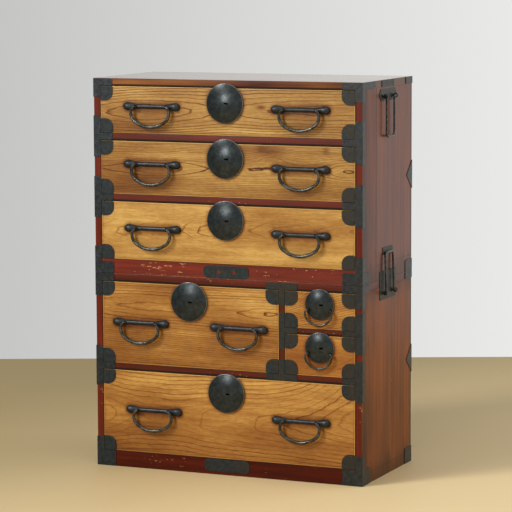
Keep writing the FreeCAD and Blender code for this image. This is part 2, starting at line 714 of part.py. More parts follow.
def dome_arc(radius, rim, crown):
    """Half of the arc across a domed plate, from its middle down to its rim."""
    rise = crown - rim
    sphere = (radius ** 2 + rise ** 2) / (2 * rise)
    half_way = radius / 2
    middle = crown - sphere + math.sqrt(sphere ** 2 - half_way ** 2)
    return Part.Arc(Vector(0, -crown, 0), Vector(half_way, -middle, 0), Vector(radius, -rim, 0)).toShape()


def dome_height(at_radius, radius, rim, crown):
    """How far a domed plate stands off the wood at a distance from its middle."""
    rise = crown - rim
    sphere = (radius ** 2 + rise ** 2) / (2 * rise)
    return crown - sphere + math.sqrt(sphere ** 2 - at_radius ** 2)


def domed_plate(centre, radius, rim, crown):
    """A round hollow plate with its rim on the wood and a keyhole beside its middle."""
    thick = sizes["dome_thick"]
    inner = radius - thick
    inner_rim = dome_height(inner, radius, rim, crown) - thick
    profile = [
        dome_arc(radius, rim, crown),
        Part.LineSegment(Vector(radius, -rim, 0), Vector(radius, 0, 0)).toShape(),
        Part.LineSegment(Vector(radius, 0, 0), Vector(inner, 0, 0)).toShape(),
        Part.LineSegment(Vector(inner, 0, 0), Vector(inner, -inner_rim, 0)).toShape(),
        dome_arc(inner, inner_rim, crown - thick),
        Part.LineSegment(Vector(0, thick - crown, 0), Vector(0, -crown, 0)).toShape()]
    shell = Part.Face(Part.Wire(Part.__sortEdges__(profile))).revolve(
        Vector(0, 0, 0), Vector(0, 1, 0), 360)
    shell.translate(centre)
    half = sizes["keyhole_length"] / 2
    slot = box_corners(centre.x + sizes["keyhole_offset"] - half, centre.x + sizes["keyhole_offset"] + half,
                       centre.z - sizes["keyhole_radius"], centre.z + sizes["keyhole_radius"],
                       sizes["keyhole_radius"])
    keyhole = sheet_iron(slot, lambda at: Vector(at.x, centre.y, at.y), Vector(0, -2 * crown, 0))
    return shell.cut(keyhole)


# Outline of a handle bar, as shares: where the swollen end is thickest, where the
# thin middle starts, how far the curve between them leans out, and how thin it gets.
BAR_SWELL_SHARE = 0.855
BAR_THIN_SHARE = 0.5
BAR_LEAN_SHARES = (0.76, 0.66)
BAR_WAIST_SHARE = 0.53


def handle_bar(centre):
    """A half-round bar with swollen ends, and holes for the two eyes."""
    half = sizes["bar_length"] / 2
    swell = sizes["bar_end_radius"]
    waist = BAR_WAIST_SHARE * swell
    thickest = Vector(-BAR_SWELL_SHARE * half, 0, 0)
    cap = Part.Ellipse(Vector(-half, 0, 0), thickest + Vector(0, 0, swell), thickest)
    neck = Part.BezierCurve()
    neck.setPoles([
        Vector(-BAR_SWELL_SHARE * half, 0, swell), Vector(-BAR_LEAN_SHARES[0] * half, 0, swell),
        Vector(-BAR_LEAN_SHARES[1] * half, 0, waist), Vector(-BAR_THIN_SHARE * half, 0, waist)])
    left = [Part.ArcOfEllipse(cap, 0, math.pi / 2).toShape(), neck.toShape()]
    right = [edge.mirror(Vector(0, 0, 0), Vector(1, 0, 0)) for edge in left]
    straight = [
        Part.LineSegment(Vector(-BAR_THIN_SHARE * half, 0, waist),
                         Vector(BAR_THIN_SHARE * half, 0, waist)).toShape(),
        Part.LineSegment(Vector(half, 0, 0), Vector(-half, 0, 0)).toShape()]
    outline = Part.Wire(Part.__sortEdges__(left + right + straight))
    bar = Part.Face(outline).revolve(Vector(0, 0, 0), Vector(1, 0, 0), 180)
    if bar.Volume < 0:
        bar.reverse()
    hole = sizes["shank_radius"] + sizes["shank_gap"]
    holes = [rod(Vector(side * sizes["eye_offset"], swell, 0), hole, Vector(0, -1, 0), 2 * swell)
             for side in (-1, 1)]
    bar = bar.cut(holes)
    bar.translate(centre)
    return bar


def oval_half(half_width, height, side_radius, centre):
    """Left half of the lower half of an oval: a tight arc at the side, a wide one below."""
    low_radius = ((half_width ** 2 + height ** 2 - 2 * half_width * side_radius)
                  / (2 * (height - side_radius)))
    side_centre = centre + Vector(side_radius - half_width, 0, 0)
    low_centre = centre + Vector(0, 0, low_radius - height)
    outward = (side_centre - low_centre).normalize()
    meeting = side_centre + outward * side_radius
    side_middle = (outward + Vector(-1, 0, 0)).normalize()
    low_middle = (outward + Vector(0, 0, -1)).normalize()
    return [
        Part.Arc(centre + Vector(-half_width, 0, 0), side_centre + side_middle * side_radius,
                 meeting).toShape(),
        Part.Arc(meeting, low_centre + low_middle * low_radius,
                 centre + Vector(0, 0, -height)).toShape()]


def bent_wire(edges, radius):
    """A round wire along a path of straight runs and arcs."""
    path = Part.Wire(Part.__sortEdges__(edges))
    first = path.OrderedEdges[0]
    start = path.OrderedVertexes[0].Point
    along = first.tangentAt(first.Curve.parameter(start))
    section = Part.Circle(start, along, radius).toShape()
    wire = path.makePipe(Part.Face(Part.Wire([section])))
    if wire.Volume < 0:
        wire.reverse()
    return wire


def drawer_bail(at, half_width, drop, corner, leg, side_radius, eye, pin_past, pin, thick):
    """A hanging bail: a bent wire with a thinner pin at each end, in the eyes."""
    bend_start = Vector(corner - half_width, 0, 0)
    turn = math.sin(math.radians(45))
    bend = Vector(corner - half_width - corner * turn, 0, corner * turn - corner)
    leg_top = Vector(-half_width, 0, -corner)
    oval_centre = Vector(0, 0, -corner - leg)
    left = [
        Part.Arc(bend_start, bend, leg_top).toShape(),
        Part.LineSegment(leg_top, leg_top + Vector(0, 0, -leg)).toShape()]
    left.extend(oval_half(half_width, drop - corner - leg, side_radius, oval_centre))
    right = [edge.mirror(Vector(0, 0, 0), Vector(1, 0, 0)) for edge in left]
    pins = [rod(Vector(side * (eye - pin_past), 0, 0), pin, Vector(side, 0, 0),
                half_width - corner - eye + pin_past) for side in (-1, 1)]
    bail = bent_wire(left + right, thick).fuse(pins)
    bail.translate(at)
    return bail


def corner_plates(name):
    """The four irons at the corners of one drawer front."""
    left = sizes[name + "_left"]
    right = left + sizes[name + "_width"]
    foot = sizes[name + "_foot"]
    top = foot + sizes[name + "_height"]
    gap = sizes["iron_edge_gap"]
    wide = sizes["drawer_plate_width"]
    tall = sizes["drawer_plate_height"]
    free = sizes["drawer_plate_round"]
    small = sizes["plate_round"]
    seat = sizes["front_y"] - sizes["front_proud"]
    plates = []
    for edge_x, inward in ((left + gap, 1), (right - gap, -1)):
        for edge_z, rise in ((foot + gap, 1), (top - gap, -1)):
            plates.append(front_iron([
                (edge_x, edge_z, 0),
                (edge_x + inward * wide, edge_z, small),
                (edge_x + inward * wide, edge_z + rise * tall, free),
                (edge_x, edge_z + rise * tall, small)], seat))
    return plates


def lock_case(name):
    """The lock let into the inner side of a drawer front, open above for its bolt."""
    middle = sizes[name + "_left"] + sizes[name + "_width"] / 2
    top = sizes[name + "_foot"] + sizes[name + "_height"]
    inner = sizes["front_inner_y"]
    case = Part.makeBox(
        sizes["lock_case_width"], sizes["lock_case_thick"], sizes["lock_case_height"],
        Vector(middle - sizes["lock_case_width"] / 2, inner - sizes["lock_case_thick"],
               top - sizes["lock_case_height"]))
    gap = sizes["bolt_gap"]
    wide = sizes["bolt_width"] + 2 * gap
    thick = sizes["bolt_thick"] + 2 * gap
    deep = sizes["bolt_low"] + sizes["bolt_height"] + gap
    channel = Part.makeBox(
        wide, thick, deep + gap,
        Vector(middle - wide / 2, inner - sizes["lock_case_thick"] / 2 - thick / 2, top - deep))
    key_hole = rod(
        Vector(middle + sizes["keyhole_offset"], inner - sizes["lock_case_thick"],
               sizes[name + "_lock_level"]),
        sizes["keyhole_length"] / 2, Vector(0, 1, 0), sizes["key_depth"])
    return case.cut([channel, key_hole])


def drawer_irons(name):
    """Everything of iron that is fixed to one drawer."""
    place = DRAWERS[name]
    middle = sizes[name + "_left"] + sizes[name + "_width"] / 2
    face = sizes["front_y"] - sizes["front_proud"]
    level = sizes[name + "_lock_level"]
    depth = sizes["front_thick"] + sizes["rove_thick"]
    irons = corner_plates(name) + [lock_case(name)]
    centre = Vector(middle, face, level)
    if place["handle"]:
        irons.append(domed_plate(centre, sizes["lock_radius"], sizes["lock_rim"], sizes["lock_crown"]))
        offset, drop = (sizes[word] for word in place["handle"])
        bar_level = sizes[place["ceiling"]] - drop
        for side in (-1, 1):
            bar_centre = Vector(middle + side * offset, face, bar_level)
            irons.append(handle_bar(bar_centre))
            for eye in (-1, 1):
                irons.append(eye_staple(
                    bar_centre + Vector(eye * sizes["eye_offset"], 0, 0), sizes["pivot_proud"],
                    sizes["eye_ring"], sizes["eye_wire"], sizes["shank_radius"], depth))
    else:
        plate = domed_plate(centre, sizes["small_lock_radius"], sizes["small_lock_rim"],
                            sizes["small_lock_crown"])
        wire = sizes["ring_eye_wire"]
        ring = sizes["ring_pin_radius"] + sizes["eye_gap"] + wire
        for eye in (-1, 1):
            at = centre + Vector(eye * sizes["ring_eye_offset"], 0, -sizes["ring_eye_drop"])
            plate = plate.cut(rod(at, sizes["shank_radius"] + sizes["shank_gap"],
                                  Vector(0, -1, 0), sizes["small_lock_crown"]))
            irons.append(eye_staple(at, sizes["ring_pivot_proud"], ring, wire,
                                    sizes["shank_radius"], depth))
        irons.append(plate)
    keep_shapes(name + "_ironwork", irons)


def drawer_bails(name):
    """The hanging bails of one drawer, each in its own node."""
    place = DRAWERS[name]
    middle = sizes[name + "_left"] + sizes[name + "_width"] / 2
    face = sizes["front_y"] - sizes["front_proud"]
    if place["handle"]:
        offset, drop = (sizes[word] for word in place["handle"])
        for side_name, side in (("left", -1), ("right", 1)):
            at = Vector(middle + side * offset, face - sizes["pivot_proud"],
                        sizes[place["ceiling"]] - drop)
            keep_shapes("%s_bail_%s" % (name, side_name), [drawer_bail(
                at, sizes["bail_half_width"], sizes["bail_drop"], sizes["bail_corner"],
                sizes["bail_leg"], sizes["bail_side_radius"], sizes["eye_offset"],
                sizes["pin_past_eye"], sizes["pin_radius"], sizes["bail_radius"])])
    else:
        at = Vector(middle, face - sizes["ring_pivot_proud"],
                    sizes[name + "_lock_level"] - sizes["ring_eye_drop"])
        keep_shapes(name + "_bail", [drawer_bail(
            at, sizes["ring_half_width"], sizes["ring_drop"], sizes["ring_corner"],
            sizes["ring_leg"], sizes["ring_side_radius"], sizes["ring_eye_offset"],
            sizes["ring_pin_past_eye"], sizes["ring_pin_radius"], sizes["ring_radius"])])


for drawer in DRAWERS:
    drawer_front(drawer)
    drawer_tray(drawer)
    lock_bolt(drawer)
    drawer_irons(drawer)
    drawer_bails(drawer)


# Carrying bails on the sides, their eyes and plates.

def carry_bail(side, level, turn):
    """A carrying bail on one side, turned up from hanging by that many degrees."""
    half = sizes["carry_half_width"]
    length = sizes["carry_length"]
    corner = sizes["carry_corner"]
    bend = sizes["carry_bend"]
    pin_end = sizes["carry_eye_offset"] + sizes["carry_pin_past_eye"]
    eighth = math.sin(math.radians(45))
    near = [
        Part.LineSegment(Vector(0, pin_end, 0), Vector(0, half + bend, 0)).toShape(),
        Part.Arc(Vector(0, half + bend, 0), Vector(0, half + bend - bend * eighth, -bend + bend * eighth),
                 Vector(0, half, -bend)).toShape(),
        Part.LineSegment(Vector(0, half, -bend), Vector(0, half, corner - length)).toShape(),
        Part.Arc(Vector(0, half, corner - length),
                 Vector(0, half - corner + corner * eighth, corner - length - corner * eighth),
                 Vector(0, half - corner, -length)).toShape(),
        Part.LineSegment(Vector(0, half - corner, -length), Vector(0, 0, -length)).toShape()]
    far = [edge.mirror(Vector(0, 0, 0), Vector(0, 1, 0)) for edge in near]
    bail = bent_wire(near + far, sizes["carry_radius"])
    bail.rotate(Vector(0, 0, 0), Vector(0, 1, 0), -side * turn)
    bail.translate(Vector(side * (sizes["case_width"] / 2 + sizes["carry_pivot_proud"]),
                          sizes["middle_y"], level))
    return bail


def carry_staples(side, level):
    """The two eyes of a carrying bail."""
    ring = sizes["carry_radius"] + sizes["eye_gap"] + sizes["carry_eye_wire"]
    staples = []
    for along in (-1, 1):
        staple = eye_staple(Vector(0, 0, 0), sizes["carry_pivot_proud"], ring, sizes["carry_eye_wire"],
                            sizes["carry_shank_radius"], sizes["carry_shank_depth"], rove=False)
        staple.rotate(Vector(0, 0, 0), Vector(0, 0, 1), 90 * side)
        staple.translate(Vector(side * sizes["case_width"] / 2,
                                sizes["middle_y"] + along * sizes["carry_eye_offset"], level))
        staples.append(staple)
    return staples


def pierced_plate(corners, side, level):
    """A plate on a side, with the two holes for a carrying bail's eyes."""
    plate = side_iron(corners, side)
    hole = sizes["carry_shank_radius"] + sizes["shank_gap"]
    for along in (-1, 1):
        at = Vector(side * sizes["case_width"] / 2, sizes["middle_y"] + along * sizes["carry_eye_offset"],
                    level)
        plate = plate.cut(rod(at, hole, Vector(side, 0, 0), 2 * sizes["iron_thick"]))
    return plate


def centred_plate(width, low, high, radius):
    """Corners of a plate centred on the depth of the side."""
    middle = sizes["case_depth"] / 2
    return box_corners(middle - width / 2, middle + width / 2, low, high, radius)


def pointed_plate(width, low, high):
    """Corners of a plate whose ends run out to blunt points."""
    middle = sizes["case_depth"] / 2
    shoulder = width / 2 - (high - low) / 2
    level = (low + high) / 2
    small = sizes["plate_round"]
    return [(middle - width / 2, level, small), (middle - shoulder, low, small),
            (middle + shoulder, low, small), (middle + width / 2, level, small),
            (middle + shoulder, high, small), (middle - shoulder, high, small)]


gap = sizes["iron_edge_gap"]
small = sizes["plate_round"]
upper_axis = sizes["chest_height"] - sizes["upper_carry_drop"]
lower_axis = sizes["lower_height"] - sizes["lower_carry_drop"]
lean_in = sizes["carry_pivot_proud"] - sizes["iron_thick"] - sizes["raised_gap"] - sizes["carry_radius"]
raised_turn = 180 + math.degrees(math.asin(lean_in / sizes["carry_length"]))
raised_grip = lower_axis + sizes["carry_length"] * math.cos(math.asin(lean_in / sizes["carry_length"]))

upper_irons = []
lower_irons = []
for side_name, side in (("left", -1), ("right", 1)):
    keep_shapes("upper_carry_bail_" + side_name, [carry_bail(side, upper_axis, 0)])
    keep_shapes("lower_carry_bail_" + side_name, [carry_bail(side, lower_axis, raised_turn)])

    # Upper section: top corner, rails, meeting corner, rear corners, plates of the bail.
    top = sizes["chest_height"] - gap
    top_low = sizes["top_ceiling"] + gap
    base_low = sizes["lower_height"] + gap
    base_high = sizes["third_floor"] - sizes["base_iron_short"]
    top_foot = top_low - sizes["top_reach"]
    base_top = base_high + sizes["meeting_reach"]
    arm = sizes["frame_arm"]
    upper_irons.extend([
        tee_iron(side, top_low, top, top_foot, top, arm,
                 corner_wing(top_foot, top, top_low, top, sizes["top_wing"])),
        rail_tee(side, sizes["second_ceiling"], sizes["top_floor"]),
        rail_tee(side, sizes["third_ceiling"], sizes["second_floor"]),
        tee_iron(side, base_low, base_high, base_low, base_top, arm,
                 corner_wing(base_low, base_top, base_low, base_high, sizes["junction_wing"])),
        rear_iron(side, top_low, top, sizes["rear_arm"]),
        rear_iron(side, base_low, base_high, sizes["rear_arm"]),
        half_lozenge(side, sizes["lower_height"] + sizes["upper_lozenge_level"]),
        pierced_plate(pointed_plate(sizes["carry_plate_width"],
                                    upper_axis - sizes["carry_plate_height"] / 2 + small,
                                    upper_axis + sizes["carry_plate_height"] / 2 + small),
                      side, upper_axis),
        side_iron(centred_plate(sizes["strap_width"], top_low, top, small), side),
        side_iron(centred_plate(sizes["lower_plate_width"], base_low,
                                base_low + sizes["meeting_plate_height"], small), side),
        side_iron(centred_plate(
            sizes["catch_width"],
            raised_grip + sizes["catch_above_grip"] - sizes["catch_height"] / 2,
            raised_grip + sizes["catch_above_grip"] + sizes["catch_height"] / 2, small), side)])
    upper_irons.extend(carry_staples(side, upper_axis))

    # Lower section: meeting corner, middle rail, foot, rear corners, plates of the bail.
    meet_top = sizes["lower_height"] - gap
    meet_low = sizes["middle_ceiling"] + gap
    meet_foot = meet_low - sizes["meeting_reach"]
    foot_high = sizes["bottom_floor"] - gap
    lower_irons.extend([
        tee_iron(side, meet_low, meet_top, meet_foot, meet_top, arm,
                 corner_wing(meet_foot, meet_top, meet_low, meet_top, sizes["junction_wing"])),
        rail_tee(side, sizes["bottom_ceiling"], sizes["middle_floor"]),
        tee_iron(side, gap, foot_high, gap, sizes["foot_iron_height"], arm,
                 corner_wing(gap, sizes["foot_iron_height"], gap, foot_high, sizes["foot_wing"])),
        rear_iron(side, meet_low, meet_top, sizes["rear_arm"]),
        rear_iron(side, gap, foot_high, sizes["rear_arm"]),
        half_lozenge(side, sizes["lower_lozenge_level"]),
        pierced_plate(centred_plate(sizes["lower_plate_width"], meet_top - sizes["lower_plate_height"],
                                    meet_top, small), side, lower_axis)])
    lower_irons.extend(carry_staples(side, lower_axis))

# Irons of the lower section that only its right half has.
lower_irons.append(rail_tee(1, sizes["small_ceiling"], sizes["small_floor"]))

divider_left = sizes["divider_left"]
divider_right = sizes["divider_right"]
arm_left = divider_left - sizes["drawer_plate_width"]
arm_right = divider_right + sizes["drawer_plate_width"]
divider_reach = sizes["drawer_plate_height"] + small
ceiling = sizes["middle_ceiling"]
floor = sizes["middle_floor"]
small_low = sizes["small_ceiling"]
small_high = sizes["small_floor"]
lower_irons.extend([
    front_iron([
        (arm_left, ceiling + gap, small), (divider_left, ceiling + gap, 0),
        (divider_left, ceiling - divider_reach, small), (divider_right, ceiling - divider_reach, small),
        (divider_right, ceiling + gap, 0), (arm_right, ceiling + gap, small),
        (arm_right, sizes["lower_height"] - small, small),
        (arm_left, sizes["lower_height"] - small, small)]),
    front_iron([
        (divider_left, small_low - divider_reach, small), (divider_right, small_low - divider_reach, small),
        (divider_right, small_low + gap, 0), (arm_right, small_low + gap, small),
        (arm_right, small_high - gap, small), (divider_right, small_high - gap, 0),
        (divider_right, small_high + divider_reach - small, small),
        (divider_left, small_high + divider_reach - small, small)]),
    front_iron([
        (arm_left, sizes["bottom_ceiling"] + gap, small), (arm_right, sizes["bottom_ceiling"] + gap, small),
        (arm_right, floor - gap, small), (divider_right, floor - gap, 0),
        (divider_right, floor + divider_reach - small, small),
        (divider_left, floor + divider_reach - small, small), (divider_left, floor - gap, 0),
        (arm_left, floor - gap, small)]),
    middle_plate(sizes["base_plate_foot"], pierced=False)])
upper_irons.append(middle_plate(sizes["lower_height"] + gap, pierced=True))

keep_shapes("lower_ironwork", lower_irons)
keep_shapes("upper_ironwork", upper_irons)

# Every piece is checked before any file is written.
doc.recompute()
for item in doc.Objects:
    if {"Invalid", "Error"} & set(item.State):
        raise RuntimeError("%s could not be made: %s" % (item.Label, item.State))
for name, node in nodes.items():
    if node.Shape.isNull() or not node.Shape.isValid() or not node.Shape.Solids:
        raise RuntimeError("%s has no valid shape" % name)
    if any(solid.Volume <= 0 for solid in node.Shape.Solids):
        raise RuntimeError("%s has a solid that is inside out" % name)

for name, node in nodes.items():
    node.Shape.exportStep("parts/%s.step" % name)
print("%d nodes, %d solids" % (len(nodes), sum(len(node.Shape.Solids) for node in nodes.values())))
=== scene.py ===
import functools
import json
import math

import bmesh
import bpy
from mathutils import Matrix, Vector

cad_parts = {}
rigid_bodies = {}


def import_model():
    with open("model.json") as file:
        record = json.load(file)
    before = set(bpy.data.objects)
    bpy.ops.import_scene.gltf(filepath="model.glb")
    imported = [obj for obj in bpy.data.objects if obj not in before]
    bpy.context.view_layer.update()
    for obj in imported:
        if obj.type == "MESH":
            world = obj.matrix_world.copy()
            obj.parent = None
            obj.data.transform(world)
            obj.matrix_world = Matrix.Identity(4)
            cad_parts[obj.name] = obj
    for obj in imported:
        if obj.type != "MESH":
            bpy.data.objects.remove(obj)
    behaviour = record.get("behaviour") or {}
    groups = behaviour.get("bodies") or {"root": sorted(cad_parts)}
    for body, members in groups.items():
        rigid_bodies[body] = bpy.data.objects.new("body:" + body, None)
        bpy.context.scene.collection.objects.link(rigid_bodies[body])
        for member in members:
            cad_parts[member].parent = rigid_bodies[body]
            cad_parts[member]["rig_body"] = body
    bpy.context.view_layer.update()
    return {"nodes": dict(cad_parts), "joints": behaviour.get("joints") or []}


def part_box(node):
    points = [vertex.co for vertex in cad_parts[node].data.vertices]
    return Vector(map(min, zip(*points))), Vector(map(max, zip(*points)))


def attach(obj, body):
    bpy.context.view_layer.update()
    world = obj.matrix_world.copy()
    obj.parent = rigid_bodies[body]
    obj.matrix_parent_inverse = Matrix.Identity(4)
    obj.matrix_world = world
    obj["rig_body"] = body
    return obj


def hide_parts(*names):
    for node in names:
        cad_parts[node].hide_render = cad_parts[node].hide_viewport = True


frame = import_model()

# A clothing chest in two stacked sections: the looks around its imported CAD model.
# Lengths are in metres, X runs to the right, Y to the back and Z up.

MM = 0.001

# Places taken from the CAD model.
case_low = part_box("lower_side_left")[0]
case_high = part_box("upper_top_board")[1]
section_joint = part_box("upper_side_left")[0].z
DRAWERS = ("top_drawer", "second_drawer", "third_drawer", "wide_drawer",
           "small_upper_drawer", "small_lower_drawer", "bottom_drawer")
PIVOTS = {joint["child"]: Vector(joint["pos_m"]) for joint in frame["joints"] if "pos_m" in joint}


# Shader maths.

class Wire:
    """An output socket; arithmetic on it adds Math nodes."""

    def __init__(self, tree, socket):
        self.tree = tree
        self.socket = socket

    def math(self, operation, *values):
        return add(self.tree, "ShaderNodeMath", {"operation": operation}, dict(enumerate((self, *values))))

    def __add__(self, other):
        return self.math("ADD", other)

    def __sub__(self, other):
        return self.math("SUBTRACT", other)

    def __rsub__(self, other):
        return self.math("MULTIPLY", -1.0).math("ADD", other)

    def __mul__(self, other):
        return self.math("MULTIPLY", other)

    def __truediv__(self, other):
        return self.math("DIVIDE", other)

    def __pow__(self, other):
        return self.math("POWER", other)

    def __abs__(self):
        return self.math("ABSOLUTE")

    __radd__ = __add__
    __rmul__ = __mul__

    def least(self, other):
        return self.math("MINIMUM", other)

    def most(self, other):
        return self.math("MAXIMUM", other)

    def step(self, low, high):
        """0 below low, 1 above high and a smooth rise between them."""
        return add(self.tree, "ShaderNodeMapRange", {"interpolation_type": "SMOOTHSTEP"},
                   {"Value": self, "From Min": low, "From Max": high}, "Result")

    def parts(self):
        """The three numbers of a vector."""
        return [add(self.tree, "ShaderNodeSeparateXYZ", {}, {"Vector": self}, axis) for axis in "XYZ"]

    def stretched(self, x, y, z):
        """A vector with each of its numbers multiplied."""
        return add(self.tree, "ShaderNodeVectorMath", {"operation": "MULTIPLY"}, {0: self, 1: (x, y, z)})

    def moved(self, x, y, z):
        """A vector with a number added to each of its own."""
        return add(self.tree, "ShaderNodeVectorMath", {"operation": "ADD"}, {0: self, 1: (x, y, z)})

    def scaled(self, factor):
        """A colour, brighter or darker by a factor."""
        return add(self.tree, "ShaderNodeVectorMath", {"operation": "SCALE"}, {0: self, "Scale": factor})


def spot(*reaches):
    """1 at a place and less away from it; each reach is a distance and how far it spreads."""
    squares = [(away / spread).math("POWER", 2.0) for away, spread in reaches]
    return (sum(squares) * -1.0).math("EXPONENT")


def greatest(wires):
    """The greatest of several outputs."""
    return functools.reduce(Wire.most, wires)


def add(tree, kind, settings=None, inputs=None, output=0):
    """A node: its settings first, then the values or links of its sockets."""
    node = tree.nodes.new(kind)
    for name, value in (settings or {}).items():
        setattr(node, name, value)
    for name, value in (inputs or {}).items():
        if isinstance(value, Wire):
            tree.links.new(value.socket, node.inputs[name])
        else:
            node.inputs[name].default_value = value
    return None if output is None else Wire(tree, node.outputs[output])


class Finish:
    """A material: one shader, and the patterns that feed it."""

    def __init__(self, name, **constants):
        self.material = bpy.data.materials.new(name)
        self.material.use_nodes = True
        self.tree = self.material.node_tree
        self.shader = self.tree.nodes["Principled BSDF"]
        for socket, value in constants.items():
            self.shader.inputs[socket.replace("_", " ").title().replace("Ior", "IOR")].default_value = value

    def add(self, kind, settings=None, inputs=None, output=0):
        return add(self.tree, kind, settings, inputs, output)

    def place(self):
        """Where a point lies on the object, in metres."""
        return self.add("ShaderNodeTexCoord", output="Object")

    def attribute(self, name):
        return self.add("ShaderNodeAttribute", {"attribute_name": name}, output="Vector")

    def noise(self, at, size=1.0, detail=2.0, roughness=0.5):
        """Soft noise from 0 to 1, in blobs of about that size."""
        return self.add("ShaderNodeTexNoise", {}, {
            "Vector": at, "Scale": 1.0 / size, "Detail": detail, "Roughness": roughness})

    def mix(self, share, first, second):
        """From the first colour to the second one."""
        first, second = [value if isinstance(value, Wire) else (*value, 1.0) for value in (first, second)]
        return self.add("ShaderNodeMix", {"data_type": "RGBA"}, {0: share, 6: first, 7: second}, 2)

    def feed(self, **values):
        """Link patterns to the shader's sockets and return the material."""
        for socket, value in values.items():
            self.tree.links.new(value.socket, self.shader.inputs[socket.replace("_", " ").title()])
        return self.material

    def bump(self, height, depth, strength=1.0):
        """A relief of that depth for the shader's normal."""
        return self.add("ShaderNodeBump", {}, {
            "Height": height, "Distance": depth, "Strength": strength}, "Normal")


# The CAD model's solids.

WELD = 1e-6

# What tells the irons apart by their boxes: a lock plate is round, wide and domed, a bar is long
# and low, and sheet is thin.
LOCK_WIDTH_LEAST = 80.0 * MM
LOCK_DOME_LEAST = 8.0 * MM
LOCK_ROUND_WITHIN = 3.0 * MM
BAR_LENGTH_LEAST = 150.0 * MM
BAR_RISE_MOST = 20.0 * MM
SHEET_MOST = 4.0 * MM


def solids_of(mesh):
    """The faces of each solid of a CAD mesh: they follow one another until they close up."""
    solids = []
    faces = []
    open_edges = set()
    for polygon in mesh.polygons:
        corners = [tuple(round(number / WELD) for number in mesh.vertices[index].co)
                   for index in polygon.vertices]
        faces.append(corners)
        for start, end in zip(corners, corners[1:] + corners[:1]):
            if start != end:
                open_edges ^= {frozenset((start, end))}
        if not open_edges:
            solids.append(faces)
            faces = []
    return solids


def box_of(points):
    """The lowest and highest corners of the box round some points."""
    points = list(points)
    return [Vector([pick(point[axis] for point in points) for axis in range(3)]) for pick in (min, max)]


def halves(low, high):
    """The middle of a box, and half of its size."""
    return (low + high) / 2, (high - low) / 2


def solid_box(faces):
    """The lowest and highest corners of a solid."""
    low, high = box_of(corner for corners in faces for corner in corners)
    return low * WELD, high * WELD


def is_lock(low, high):
    """Whether a solid of that box is a round, domed lock plate."""
    size = high - low
    wide = min(size.x, size.z) > LOCK_WIDTH_LEAST
    return wide and size.y > LOCK_DOME_LEAST and abs(size.x - size.z) < LOCK_ROUND_WITHIN


def is_bar(low, high):
    """Whether a solid of that box is a handle bar."""
    size = high - low
    return size.x > BAR_LENGTH_LEAST and size.z < size.y + BAR_RISE_MOST


# Wood of the drawer fronts.

# Width of a growth ring across the log.
RING_WIDTHS = {
    "top_drawer": 5.2 * MM, "second_drawer": 3.6 * MM, "third_drawer": 7.5 * MM,
    "wide_drawer": 5.2 * MM, "small_upper_drawer": 6.0 * MM, "small_lower_drawer": 7.0 * MM,
    "bottom_drawer": 9.5 * MM}

# How each front was sawn. The pith's level, the tilt of the grain and every place are shares
# of the front's half width and half height. Depths and rises are counted in growth rings, and
# lean is the change of depth along the half width. Calm weakens the lines away from the pith,
# and bold is how dark they are. A swelling is (place along, length, rise); a knot is (along,
# up, length, height, rise).
SAWING_SHARES = {
    "top_drawer": dict(
        pith=0.02, tilt=0.14, depth=9.12, lean=-0.6, calm=0.0, bold=1.25, seed=3.1,
        swellings=((-0.65, 0.34, -1.6), (0.02, 0.22, 0.85)),
        knots=((0.1, 1.1, 0.7, 0.55, -1.8),)),
    "second_drawer": dict(
        pith=0.05, tilt=0.07, depth=12.15, lean=0.0, calm=0.0, bold=1.3, seed=11.7,
        swellings=((-0.55, 0.3, -1.9), (0.95, 0.2, -2.2)),
        knots=((0.36, 0.62, 0.14, 0.3, -3.0),)),
    "third_drawer": dict(
        pith=0.16, tilt=0.17, depth=6.4, lean=-3.4, calm=0.12, bold=0.9, seed=23.9,
        swellings=((-0.85, 0.1, -0.35), (-0.35, 0.1, 0.35), (-0.2, 0.1, -0.35), (0.2, 0.1, 0.35),
                   (0.4, 0.1, -0.35)),
        knots=()),
    "wide_drawer": dict(
        pith=0.42, tilt=-0.02, depth=8.41, lean=-0.64, calm=0.0, bold=1.0, seed=37.3,
        swellings=((-1.0, 0.1, 0.3), (0.1, 0.3, 0.15)),
        knots=((0.9, 0.42, 0.2, 0.16, -1.1),)),
    "small_upper_drawer": dict(
        pith=1.4, tilt=0.5, depth=4.0, lean=0.0, calm=0.0, bold=1.0, seed=41.9,
        swellings=(),
        knots=((-1.1, 0.9, 0.5, 0.9, -6.0),)),
    "small_lower_drawer": dict(
        pith=-1.4, tilt=0.9, depth=6.0, lean=0.5, calm=0.02, bold=0.45, seed=53.7,
        swellings=(),
        knots=((0.3, 0.3, 0.5, 0.6, 1.2),)),
    "bottom_drawer": dict(
        pith=-0.08, tilt=0.0, depth=7.05, lean=-1.6, calm=0.0, bold=0.68, seed=67.1,
        swellings=((-0.4, 0.2, 0.7), (-1.0, 0.18, -2.2)),
        knots=((1.05, 1.7, 0.42, 1.3, -11.0), (-0.58, -0.1, 0.07, 0.12, -0.8),
               (-0.24, 0.0, 0.06, 0.2, 0.4), (0.18, -0.1, 0.06, 0.2, 0.4))),
}

